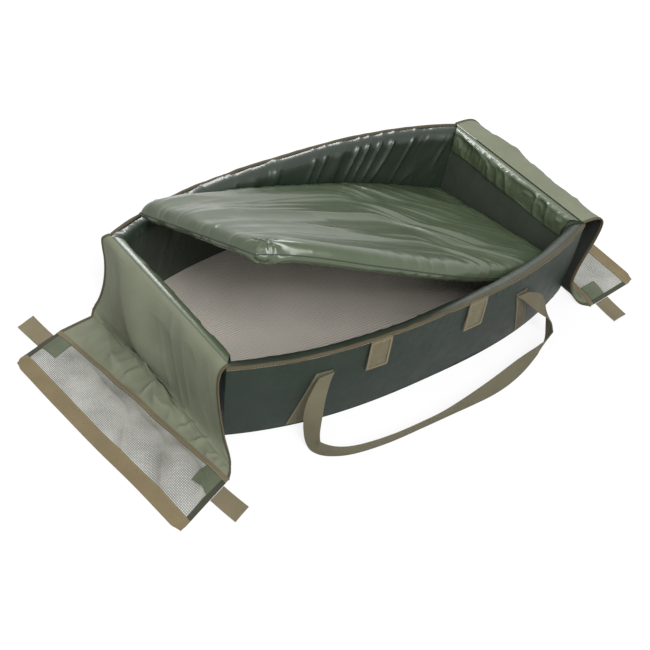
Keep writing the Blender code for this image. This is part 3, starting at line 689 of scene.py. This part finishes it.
def pad_point(share, across, rise):
    """A place on the mattress, which lies on the far wall and rolls more towards its left end."""
    right = PAD_HALF_LENGTH
    distance = right * (1 - share)
    past = np.maximum(distance - PAD_FLAT_RUN, 0)
    angle = np.minimum(past / PAD_BEND_RADIUS, PAD_SLOPE)
    straight = past - PAD_BEND_RADIUS * angle
    bent = PAD_BEND_RADIUS * np.sin(angle)
    x = right - np.minimum(distance, PAD_FLAT_RUN) - bent - straight * np.cos(angle)
    z = PAD_BEND_RADIUS * (1 - np.cos(angle)) + straight * np.sin(angle)
    roll = np.radians(mix(*PAD_ROLL_DEGREES, ease((PAD_TWIST_START - share) / PAD_TWIST_RUN)))
    lifted = stack(np.sin(angle), 0, np.cos(angle))
    sine, cosine = np.sin(roll)[..., None], np.cos(roll)[..., None]
    side = stack(0, 1, 0) * cosine - lifted * sine
    up = lifted * cosine + stack(0, 1, 0) * sine
    far_y = side_line(np.clip(x, -right, right), BASE_SHEET, SIDE_WALL)
    lean = ease((-share - 0.45) / 0.5)
    far_y += mix(-PAD_CLEARANCE - WALL_CROWN, PAD_FAR_OVERLAP, lean)
    far_y -= PAD_THICKNESS * np.sin(roll) / 2
    width = pad_half_width(share)
    return stack(x, far_y, z) - side * (width - across)[..., None] + up * rise[..., None]


def crowd(share):
    return mix(share, np.sin(np.pi / 2 * share), 0.6)


def pad_surface(top, columns=300, rows=170):
    """The mattress's upper or lower face, with soft ridges, gathered sides and a pinched corner."""
    u, v = grid(columns, rows)
    share, side = crowd(2 * u - 1), crowd(2 * v - 1)
    end = 1 - np.abs(share) ** 34
    edge = 1 - np.abs(side) ** 22
    swell = np.sqrt(np.maximum(end, 0)) * np.sqrt(np.maximum(edge, 0))
    seam = PAD_THICKNESS * PAD_SEAM_SHARE
    x, y = share * PAD_HALF_SPREAD[0], side * PAD_HALF_SPREAD[1]
    rim = np.maximum(np.abs(share) ** 12, np.abs(side) ** 9)
    if top:
        rise = seam + (PAD_THICKNESS - 0.006 - seam) * swell
        for place in (-0.52, 0.0, 0.52):
            groove = bell((side - place) / 0.13)
            rise = rise - 0.005 * groove * ease((1 - np.abs(share)) / 0.1) * swell
        fan = y + ease((x - 0.02) / 0.16) * (x - 0.02) * 1.05
        rise += 0.0062 * gathers(x / 0.5 + 3, fan / 0.085, 81) * swell * (1 - rim)
        rise += 0.0022 * gathers(x / 0.24, fan / 0.036, 82) * swell * (1 - rim)
        rise += 0.0022 * gathers(x / 0.042, y / 0.3, 83) * rim ** 0.5 * swell
    else:
        rise = seam - seam * swell
        rise += 0.001 * gathers(x / 0.09, y / 0.09, 84) * swell
    points = pad_point(share, side * pad_half_width(share), rise)
    on_side = np.abs(side) > np.abs(share) * 0.98
    return lift(points, pad_gathers(x, y, on_side, swell, rise))


def pad_gathers(x, y, on_side, swell, rise):
    """How far the mattress's sides go in and out where its cloth gathers along the seam."""
    band = np.clip(1 - swell, 0, 1) ** 0.5 * np.clip(swell * 6, 0, 1)
    travel = np.where(on_side, x, y + 3.7)
    fold = (creases(travel / 0.042, rise * 6, 85) - 0.5) * 0.0048
    fold += (creases(travel / 0.019, rise * 9, 86) - 0.5) * 0.001
    away_x, away_y = x + 0.452, y + 0.245
    corner = np.exp(-(away_x ** 2 + away_y ** 2) / 0.034 ** 2)
    fan = creases(np.arctan2(away_y, away_x) * 2.6, 0.4, 87) - 0.6
    return fold * band + corner * (0.01 * fan - 0.003) * np.clip(swell * 4, 0, 1)


def add_pad():
    """The mattress, a padded body closed round its seam."""
    top, low = pad_surface(True), pad_surface(False)
    drop = min(low[..., 2].min(), top[..., 2].min())
    seat = np.array([0, 0, WALL_FOOT + FLOOR_SHEET + SEAM_GAP - drop])
    top, low = top + seat, low + seat
    rim = (top + low) / 2
    for edge in ((0, slice(None)), (-1, slice(None)), (slice(None), 0), (slice(None), -1)):
        top[edge] = low[edge] = rim[edge]
    rows, columns = top.shape[:2]
    index = np.arange(rows * columns).reshape(rows, columns)
    quads = cells(index).reshape(-1, 4)
    inside = np.zeros((rows, columns), bool)
    inside[1:-1, 1:-1] = True
    order = np.where(inside, np.cumsum(inside.ravel()).reshape(rows, columns) - 1 + rows * columns, index)
    under = order.ravel()[quads[:, ::-1]]
    vertices = np.concatenate([top.reshape(-1, 3), low[1:-1, 1:-1].reshape(-1, 3)])
    length, width = (2 * half for half in PAD_HALF_SPREAD)
    spread = np.stack(np.meshgrid(np.linspace(0, length, columns), np.linspace(0, width, rows)), axis=-1)
    uvs = np.concatenate([spread.reshape(-1, 2), spread[1:-1, 1:-1].reshape(-1, 2)])
    pad = add_mesh("mattress", vertices, np.concatenate([quads, under]).tolist(), [PAD_CLOTH], uvs, sharp=75)
    dress(pad, "pad", "pad_cover", "pad_top_cover", "pad_bottom_cover", "pad_foam")
    return np.concatenate([top[0, :-1], top[:-1, -1], top[-1, :0:-1], top[:0:-1, 0]])


def add_pad_seam(loop):
    """A cord-thin welt round the mattress where its two covers meet."""
    curve = bpy.data.curves.new("mattress_seam", "CURVE")
    curve.dimensions = "3D"
    curve.bevel_depth, curve.bevel_resolution = 0.0014, 2
    spline = curve.splines.new("POLY")
    spline.points.add(len(loop) - 1)
    spline.points.foreach_set("co", np.concatenate([loop, np.ones((len(loop), 1))], axis=1).ravel())
    spline.use_cyclic_u = True
    curve.materials.append(DARK_THREAD)
    dress(add_object("mattress_seam", curve), "pad", "pad_cover")


# Patches, sewn webs and handles

def rectangle(count):
    """Points round a unit square, along its width and height."""
    share = np.linspace(0, 1, count)
    corners = ((0, 0), (0, 1), (1, 1), (1, 0), (0, 0))
    sides = [[mix(a[0], b[0], share), mix(a[1], b[1], share)] for a, b in zip(corners, corners[1:])]
    return np.concatenate(sides, axis=1)


def add_patch(wall, side, sign):
    """A hook-and-loop patch on a long wall, with its woven border and its stitches."""
    top_drop, inset, stitch_drop = 0.006, 0.0035, 0.012
    middle = PATCH_SHIFT + sign * PATCH_SPACING / 2
    name = f"{wall}_{side}_patch"
    u, v = grid(36, 50)
    x = middle + PATCH_WIDTH * (u - 0.5) * (1 + 0.02 * np.cos(np.pi * v))
    z = MAT_HEIGHT - 0.0005 - PATCH_HEIGHT * (1 - v)
    soft = 0.0022 + 0.0005 * noise(u * 4, v * 4, 91) + 0.0014 * ease((v - 0.86) / 0.1)
    points = facing(long_wall_surface(wall, x, z, soft), OUTSIDE[wall])
    dress(shell(name, points, WEB, PILE), "mat_body", "loop_pile", f"{wall}_{side}_loop_patch")
    u, v = grid(22, 34)
    x = middle + PATCH_WIDTH * (u - 0.5) * 1.01
    z = MAT_HEIGHT - top_drop - (PATCH_HEIGHT - top_drop) * (1 - v)
    points = facing(long_wall_surface(wall, x, z, soft.max() + 0.0004), OUTSIDE[wall])
    inner = np.zeros((34, 22), bool)
    inner[2:-2, 2:-2] = True
    dress(shell(f"{name}_border", points, NET_THREAD, WEBBING, holes=inner), "mat_body", "loop_pile")
    u, v = rectangle(30)
    x = middle + (PATCH_WIDTH - 2 * inset) * (u - 0.5)
    z = MAT_HEIGHT - stitch_drop - (PATCH_HEIGHT - stitch_drop - inset) * (1 - v)
    ring = long_wall_surface(wall, x, z, 0.0027)
    stitches(f"{name}_stitches", ring, np.sign(OUTSIDE[wall]), "mat_body", length=0.0035, gap=0.0015)


def add_web(wall, side, sign):
    """A webbing sewn up a long wall, which carries one end of a handle."""

    def web_surface(across, share, out):
        x = WEB_SHIFT + sign * mix(WEB_FOOT_SPACING, WEB_TOP_SPACING, share) / 2
        z = mix(WEB_FOOT_HEIGHT, WEB_TOP_HEIGHT, share)
        return long_wall_surface(wall, x + WEBBING_WIDTH * (across - 0.5), z, out)

    points = facing(web_surface(*grid(36, 50), 0.001), OUTSIDE[wall])
    web = shell(f"{wall}_{side}_web", points, WEB, SHADED_WEBBING)
    dress(web, "mat_body", "webbing", f"{wall}_{side}_sewn_web")
    for which, across in (("inner", 0.08), ("outer", 0.92)):
        line = web_surface(across, np.linspace(0.02, 0.98, 60), 0.0011)
        stitches(f"{wall}_{side}_web_{which}_stitches", line, np.sign(OUTSIDE[wall]), "mat_body")


def add_fittings():
    for wall in LONG_WALLS:
        for side, flap in FLAPS.items():
            add_patch(wall, side, flap.sign)
            add_web(wall, side, flap.sign)


def smooth_route(points, count):
    padded = np.array([points[0] * 2 - points[1], *points, points[-1] * 2 - points[-2]])
    share = np.linspace(0, len(points) - 1, count + 1)
    start = np.minimum(share.astype(int), len(points) - 2)
    t = (share - start)[:, None]
    a, b, c, d = (padded[start + i] for i in range(4))
    return (b * 2 + (c - a) * t + (a * 2 - b * 5 + c * 4 - d) * t ** 2 + (b * 3 - a - c * 3 + d) * t ** 3) / 2


def handle_surface(wall):
    """The webbing of a carrying handle: its middle surface, from its left sewn end to its right one."""
    outward = 1 if wall == "far" else -1
    ends = []
    height = WEB_TOP_HEIGHT * HANDLE_ROUTE[0][2]
    for sign in (-1, 1):
        x = WEB_SHIFT + sign * WEB_TOP_SPACING / 2
        curve = side_line(abs(x) - WEBBING_WIDTH / 2, height, 0) - side_line(x, height, 0)
        stand = 2 * SEAM_GAP + 1.5 * WEBBING_THICKNESS + curve
        ends.append(np.array([x, outward * side_line(x, height, -stand), height]))
    start, end = ends
    axis = unit(end - start)
    points = []
    for along, out, level in HANDLE_ROUTE:
        x = WEB_SHIFT + HANDLE_SPREAD * (along - 0.5 + HANDLE_SHIFT_SHARE)
        share = min(max((x - start[0]) / (end[0] - start[0]), 0), 1)
        y = mix(start[1], end[1], share) + outward * HANDLE_REACH * out
        points.append(np.array([x, y, WEB_TOP_HEIGHT * level]))
    points[0], points[-1] = start, end
    route = smooth_route(points, HANDLE_CELLS)
    route[:, 2] = np.maximum(route[:, 2], HANDLE_LIE_HEIGHT)
    run = unit(np.gradient(route, axis=0))
    share = np.linspace(0, 1, HANDLE_CELLS + 1)
    twist = bell((share - 0.81) / 0.08) - bell((share - 0.22) / 0.08)
    lean = bell((share - 0.66) / 0.07)
    half = WEBBING_WIDTH / 2
    slope = (side_line(route[:, 0] - half, WEB_TOP_HEIGHT, 0)
             - side_line(route[:, 0] + half, WEB_TOP_HEIGHT, 0)) / WEBBING_WIDTH
    tilt = ease((share - 0.2) / 0.12) * ease((0.86 - share) / 0.12)
    face = stack(slope + 2 * twist, outward, 0.9 * lean - 0.3 * tilt)
    face = unit(face - run * (face * run).sum(axis=1, keepdims=True))
    width = unit(np.cross(run, face))
    square = ease((start[2] - route[:, 2]) / WEBBING_WIDTH)[:, None]
    along_axis = np.where((width @ axis)[:, None] < 0, -axis, axis)
    width = unit(mix(along_axis, width, square))
    low = HANDLE_LIE_HEIGHT - half * np.abs(width[:, 2]) - WEBBING_THICKNESS / 2 * np.abs(face[:, 2])
    drop = np.minimum(low, HANDLE_LIE_HEIGHT) - SEAM_GAP
    drop = drop * ease((WEB_TOP_HEIGHT * 0.42 - route[:, 2]) / (WEB_TOP_HEIGHT * 0.17))
    middle = route - stack(0, 0, 1)[None, :] * drop[:, None]
    v = np.linspace(-0.5, 0.5, 13)[:, None, None]
    points = middle[None] + width[None] * WEBBING_WIDTH * v
    curl = 0.0012 * (1 - (2 * v[..., 0]) ** 2) * noise(share[None, :] * 9, 0.2, 95)
    return points + face[None] * curl[..., None]


def add_handles():
    for wall in LONG_WALLS:
        handle = shell(f"{wall}_handle", handle_surface(wall), HANDLE_WEB, SHADED_WEBBING, centred=True)
        dress(handle, f"{wall}_handle", "webbing", f"{wall}_handle_webbing")


# End flaps

def bezier(a, b, c, d, t):
    t = t[..., None]
    return a * (1 - t) ** 3 + 3 * b * t * (1 - t) ** 2 + 3 * c * t ** 2 * (1 - t) + d * t ** 3


def ground_point(flap, across, out):
    """A place on the ground: across from the near side to the far one, out from the seam to the edge."""
    near_out, near_side, far_out, far_side = (mix(a, b, out) for a, b in zip(flap.seam, flap.edge))
    x = flap.sign * (RIM_LENGTH / 2 + mix(near_out, far_out, across))
    return x, mix(-near_side, far_side, across)


def ground_distance(flap, first, last):
    x0, y0 = ground_point(flap, *first)
    x1, y1 = ground_point(flap, *last)
    return np.hypot(x1 - x0, y1 - y0)


def ground_run(flap, across):
    """How far it is from the seam to the edge."""
    return ground_distance(flap, (across, 0.0), (across, 1.0))


def ground_width(flap):
    return float(ground_distance(flap, (0.0, 0.0), (1.0, 0.0)))


def net_ridges(flap, across, metres):
    """Where the netting is gathered into folds, from 0 to 1."""
    wide = across * ground_width(flap)
    return creases(wide / 0.12 + metres * 5, metres / 0.13 + 0.3, flap.net_seed + 1) ** 2


def lie(flap, across, metres):
    """How high the netting lies over the ground, from its seam outwards."""
    run = ground_run(flap, across)
    seed = flap.net_seed
    wide = across * ground_width(flap)
    middle = arch(np.clip(metres / run, 0, 1) * 1.1)
    height = 0.005 * (1 + noise(wide / 0.09, metres / 0.1, seed)) * middle
    height += 0.015 * net_ridges(flap, across, metres) * middle
    seam = bell(metres / 0.03)
    puckers = 0.0028 * (1 + noise(wide / 0.045, 0.7, seed + 2))
    height += puckers * seam * arch(across) ** 0.5
    edge = bell((run - metres) / 0.05)
    height = height * (1 - 0.6 * edge) + 0.0012 * (1 + noise(wide / 0.12, 0.4, seed + 3)) * edge
    return height * ease(np.minimum(across, 1 - across) / 0.06)


def ground_surface(flap, across, metres, above):
    """Points over the ground, with a hem that waves a little and rounds off at its corners."""
    share = metres / ground_run(flap, across)
    x, y = ground_point(flap, across, share)
    sway = 0.0025 * (1 + noise(across * 4.2, 0.3, flap.hem_seed)) * ease((share - 0.1) / 0.9)
    corner = ease(1 - np.minimum(across, 1 - across) / 0.05) * ease((share - 0.85) / 0.15)
    x = x - flap.sign * (sway + 0.006 * corner)
    y += np.where(across < 0.5, 1, -1) * 0.004 * corner
    return stack(x, y, lie(flap, across, metres) + above)


def flap_surface(flap, across, travel):
    """The flap's cloth, travel from 0 at the hinge to 1 at the crease and 2 at the seam, before its folds."""
    sign = flap.sign
    near_out, near_side, far_out, far_side = flap.crease
    lift_at = FOOT_BEND_RADIUS * (1 - math.cos(math.pi / 4))
    crease_out = mix(near_out, far_out, across)
    foot = stack(sign * (RIM_LENGTH / 2 + crease_out), 0, FLAP_SHEET / 2 + lift_at)
    top = np.broadcast_to(stack(sign * (RIM_LENGTH / 2 - FLAP_SET_IN), 0, FLAP_TOP), foot.shape)
    reach = top + np.array([sign * flap.roll, 0, 0])
    draw = foot + np.array([-sign, 0, 1]) * flap.foot
    down = np.clip(travel, 0, 1)
    drop = bezier(top, reach, draw, foot, down)
    flare = down ** 3
    half = RIM_END_WIDTH / 2
    drop[..., 1] = mix(-mix(half, near_side, flare), mix(half, far_side, flare), across)
    sway = 0.0085 * noise(down * 2.4, across * 2 + 3, 211)
    drop[..., 1] += sway * ease(down / 0.2) * ease((1 - down) / 0.2)
    out = np.clip(travel - 1, 0, 1)
    bent_share = 0.6
    turn = np.pi / 4 * (1 - np.minimum(out / bent_share, 1))
    bend = FOOT_BEND_RADIUS * (math.sin(math.pi / 4) - np.sin(turn))
    settle = np.maximum(out - bent_share, 0) / (1 - bent_share)
    end_x, end_y = ground_point(flap, across, 0.0)
    x = mix(foot[..., 0] + sign * bend, end_x, settle)
    y = mix(mix(-near_side, far_side, across), end_y, out)
    z = FLAP_SHEET / 2 + FOOT_BEND_RADIUS * (1 - np.cos(turn))
    z += lie(flap, across, np.zeros_like(across)) * ease(out * 1.2)
    return np.where((travel > 1)[..., None], stack(x, y, z), drop)


def flap_folds(flap, across, travel):
    """How far the cloth stands off that surface: broad soft folds, and puckers at its seams."""
    seed = flap.fold_seed
    wide = across * FLAP_SPREAD
    middle = arch(across) ** 0.6
    fold = 0.012 * noise(wide / 0.13 + travel * 0.35, travel * 1.1, seed) * ease(travel * 1.6) * middle
    slanted = creases(wide / 0.11 - travel * 0.6, travel * 0.8, seed + 1) - 0.4
    fold += 0.006 * slanted * ease(travel - 0.15)
    fold += 0.0018 * (creases(wide / 0.04 + travel * 0.9, travel * 1.6, seed + 2) - 0.4)
    crumple = gathers(wide / 0.07 + travel * 0.5, travel * 1.5, seed + 3)
    fold += 0.0075 * crumple * bell(travel / 0.35)
    beside = across - (0.86 - 0.33 * travel)
    ridge = bell(beside / np.where(beside > 0, 0.055, 0.2))
    ridge = ridge * (1 - 0.65 * bell((travel - 1) / 0.22))
    fold += 0.02 * ridge * ease(travel / 0.5) * ease((1.8 - travel) / 0.4)
    seam = bell((2 - travel) / 0.55)
    fold += 0.0044 * gathers(wide / 0.032, travel * 1.3, seed + 4) * seam
    ends = ease(travel * 5) * ease((2 - travel) * 9)
    stand = fold * ends * mix(0.3, 1.0, middle) * (1 - 0.5 * bell((travel - 1) / 0.12))
    if flap.name == "left":
        hollow = arch((travel - 0.12) / 0.8)
        stand = stand - 0.018 * hollow * ease((across - 0.62) / 0.38)
    return stand


def foot_folds(flap, across, travel):
    """How high the cloth's foot stands off the ground in soft folds and in puckers along the seam tape."""
    seed = flap.foot_seed
    wide = across * FLAP_SPREAD
    folds = creases(wide / 0.125 + travel * 1.3, travel * 0.7, seed) ** 2 * 0.02
    folds += creases(wide / 0.046 - travel * 1.1, travel * 1.1, seed + 1) ** 2 * 0.0075
    puckers = creases(wide / 0.03, travel * 0.8, seed + 2) ** 2 * 0.007 * ease((travel - 1.5) / 0.25)
    return (folds * ease((travel - 0.8) / 0.5) + puckers) * ease((2 - travel) * 5) * arch(across) ** 0.5


def flap_cloth(flap, first, last, columns, rows=150):
    travel = 2 * np.linspace(0, 1, rows + 1)[:, None]
    across = np.linspace(first, last, columns + 1)[None, :]
    across, travel = np.broadcast_arrays(across, travel)
    step = 1e-3
    du = flap_surface(flap, across + step, travel) - flap_surface(flap, across - step, travel)
    dv = flap_surface(flap, across, travel + step) - flap_surface(flap, across, travel - step)
    out = unit(np.cross(du, dv)) * (-flap.sign)
    for _ in range(3):
        out[1:-1] = (out[:-2] + out[1:-1] + out[2:]) / 3
    points = flap_surface(flap, across, travel) + unit(out) * flap_folds(flap, across, travel)[..., None]
    points[..., 2] = np.maximum(points[..., 2], FLAP_SHEET / 2) + foot_folds(flap, across, travel)
    return points


def hang(piece, flap, slot, *nodes):
    """Hides the CAD nodes that a cloth stands for and bakes its place into its mesh. flap and slot are not
    used.
    """
    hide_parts(*nodes)
    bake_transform(piece)


def add_flap_cloth(flap):
    """The flap's cloth from the hinge to the seam, and the tapes folded over its side edges."""
    name = flap.name
    points = facing(flap_cloth(flap, 0.0, 1.0, 150), (flap.sign * 9, 0, 9))
    cloth = shell(f"{name}_flap_cloth", points, CLOTH, FLAP_CLOTH, FLAP_BACK, centred=True)
    hang(cloth, flap, "flap_nylon", f"{name}_drop_panel", f"{name}_apron_panel")
    edge = FLAP_SIDE_TAPE / FLAP_MID_WIDTH
    for end, first, last in (("near", -0.002, edge), ("far", 1 - edge, 1.002)):
        points = flap_cloth(flap, first, last, 4)[:, ::-flap.sign]
        tape = shell(f"{name}_flap_{end}_tape", points, FOLDED_TAPE, TAPE, centred=True)
        hang(tape, flap, "webbing", f"{name}_drop_{end}_binding")


def add_strip(flap, label, node, slot, cloth, thick, above, ends, rows, first=0.0, last=1.0, columns=150):
    """A tape or webbing on the netting. ends says where it starts and stops, as a share of the way out
    and metres from there.
    """
    line = np.linspace(first, last, columns + 1)[None, :]
    run = ground_run(flap, line)
    low, high = (run * start + place for start, place in ends)
    line, metres = np.broadcast_arrays(line, mix(low, high, np.linspace(0, 1, rows + 1)[:, None]))
    points = face_up(ground_surface(flap, line, metres, above + thick))
    strip = shell(f"{flap.name}_{label}", points, thick, cloth)
    dress(strip, f"{flap.name}_apron", slot, f"{flap.name}_{node}")


def add_net_tapes(flap, side_share):
    """The seam tape, the hem and the tapes at the netting's sides."""
    seam, hem = (0, SEAM_TAPE), (1, -HEM_WIDTH)
    add_strip(flap, "seam_tape_cloth", "seam_tape", "webbing", SEAM_TAPE_CLOTH, FLAT_TAPE, 0.0016,
              ((0, -0.002), seam), 8)
    add_strip(flap, "hem_cloth", "net_hem", "webbing", HEM, HEM_WEB, 0.0004, (hem, (1, 0)), 14)
    for end, first, last in (("near", 0.0, side_share), ("far", 1 - side_share, 1.0)):
        node = f"net_{end}_tape"
        add_strip(flap, f"{node}_cloth", node, "flap_nylon", SIDE_TAPE, FLAT_TAPE, 0.0006, (seam, hem), 60,
                  first, last, 6)


def add_net_stitches(flap):
    line = np.linspace(0.01, 0.99, 200)
    seam_row = np.full(200, SEAM_TAPE - 0.0025)
    hem_row = ground_run(flap, line) - HEM_WIDTH + 0.003
    for label, metres, above in (("seam", seam_row, 0.0034), ("hem", hem_row, 0.0028)):
        spots = ground_surface(flap, line, metres, above)
        stitches(f"{flap.name}_{label}_stitches", spots, (0, 0, 1), f"{flap.name}_apron")


def add_net(flap, width, side_share):
    """The netting: a knitted mesh of threads, with a gap every few millimetres."""
    pitch, strand = 0.0042, 0.46
    columns = int((width * (1 - 2 * side_share)) / pitch)
    run = float(ground_run(flap, 0.5)) - SEAM_TAPE - HEM_WIDTH
    rows = int(run / pitch)

    def lanes(count):
        line = np.arange(2 * count + 2)
        return (line // 2 + line % 2 * strand) / (count + strand)

    def narrowed(count):
        side = np.where(np.arange(2 * count + 2) % 2 == 1, 1.0, -1.0)
        side[0] = side[-1] = 0
        return side / (count + strand)

    across = mix(side_share, 1 - side_share, lanes(columns))[None, :]
    runs = ground_run(flap, across)
    metres = mix(SEAM_TAPE + 0 * runs, runs - HEM_WIDTH, lanes(rows)[:, None])
    across, metres = np.broadcast_arrays(across, metres)
    closing = 0.34 * (1 - strand) * net_ridges(flap, across, metres)
    across = across + closing * narrowed(columns)[None, :] * (1 - 2 * side_share)
    metres = metres + closing * narrowed(rows)[:, None] * (runs - SEAM_TAPE - HEM_WIDTH)
    points = face_up(ground_surface(flap, across, metres, 0.0012))
    holes = np.zeros((points.shape[0] - 1, points.shape[1] - 1), bool)
    holes[1::2, 1::2] = True
    net = shell(f"{flap.name}_net_threads", points, NET_THREAD, NET, holes=holes)
    dress(net, f"{flap.name}_apron", "net_mesh", f"{flap.name}_net")


def add_tab(flap, end):
    """A tab of webbing that sticks out from a side of the netting, beside the seam."""
    name = f"{flap.name}_{end}_tab"
    across = 0.0 if end == "near" else 1.0
    run, gap = float(ground_run(flap, across)), 0.0014

    def corner(across, metres):
        return np.array(ground_point(flap, across, metres / run))

    first, last = (corner(across, SEAM_TAPE + TAB_SET_OUT + place) for place in (0, TAB_WIDTH))
    way = unit(corner(across, 0.0) - corner(1.0 - across, 0.0))
    u, v = grid(24, 40)
    spot = first + (last - first) * u[..., None] + way * (gap + (TAB_LENGTH - gap) * v)[..., None]
    height = 0.0018 + 0.0035 * v ** 2 * (1 + 0.5 * np.sin(3 * u + (0.5 if end == "near" else 1.7)))
    tab = shell(f"{name}_webbing", face_up(stack(spot[..., 0], spot[..., 1], height)), TAB_WEB, WEBBING)
    dress(tab, name, "webbing", name)


def add_tab_patch(flap, end, width):
    """The square under a tab's sewn end."""
    name = f"{flap.name}_{end}_tab"
    u, v = grid(24, 24)
    low, high = NET_TAPE / width, (NET_TAPE + TAB_WIDTH) / width
    across = mix(low, high, v) * 0.97
    across = across if end == "near" else 1 - across
    seam_gap = 0.0015
    metres = SEAM_TAPE + seam_gap + (TAB_SET_OUT + TAB_WIDTH - seam_gap) * u
    points = face_up(ground_surface(flap, across, metres, 0.0028))
    patch = shell(f"{name}_square", points, TAB_SQUARE, GREEN_TAPE)
    dress(patch, f"{flap.name}_apron", "flap_nylon", f"{name}_patch")


def add_flap(flap):
    width = ground_width(flap)
    side_share = NET_TAPE / width
    add_flap_cloth(flap)
    add_net_tapes(flap, side_share)
    add_net(flap, width, side_share)
    add_net_stitches(flap)
    for end in ("near", "far"):
        add_tab_patch(flap, end, width)
        add_tab(flap, end)


add_camera()
add_world()
add_floor_plane()
add_lamp("key", (-1.3, -2.1, 3.3), (1.3, 1.3), 90)
add_lamp("behind", (1.1, 2.1, 2.2), (1.8, 0.6), 62)
add_lamp("near", (-0.7, -2.6, 2.2), (1.6, 1.0), 46)

add_walls()
add_floor_sheet("base_cloth", 0.0004, 0.0005, BASE_CLOTH, OUTER, "base_panel", "outer_nylon")
add_floor_sheet("floor_mesh_cloth", WALL_FOOT, SIDE_WALL + COVER, CLOTH, FLOOR_MESH, "floor_mesh",
                "floor_mesh", swell=0.0009)
add_pad_seam(add_pad())
add_fittings()
add_handles()
for flap in FLAPS.values():
    add_flap(flap)
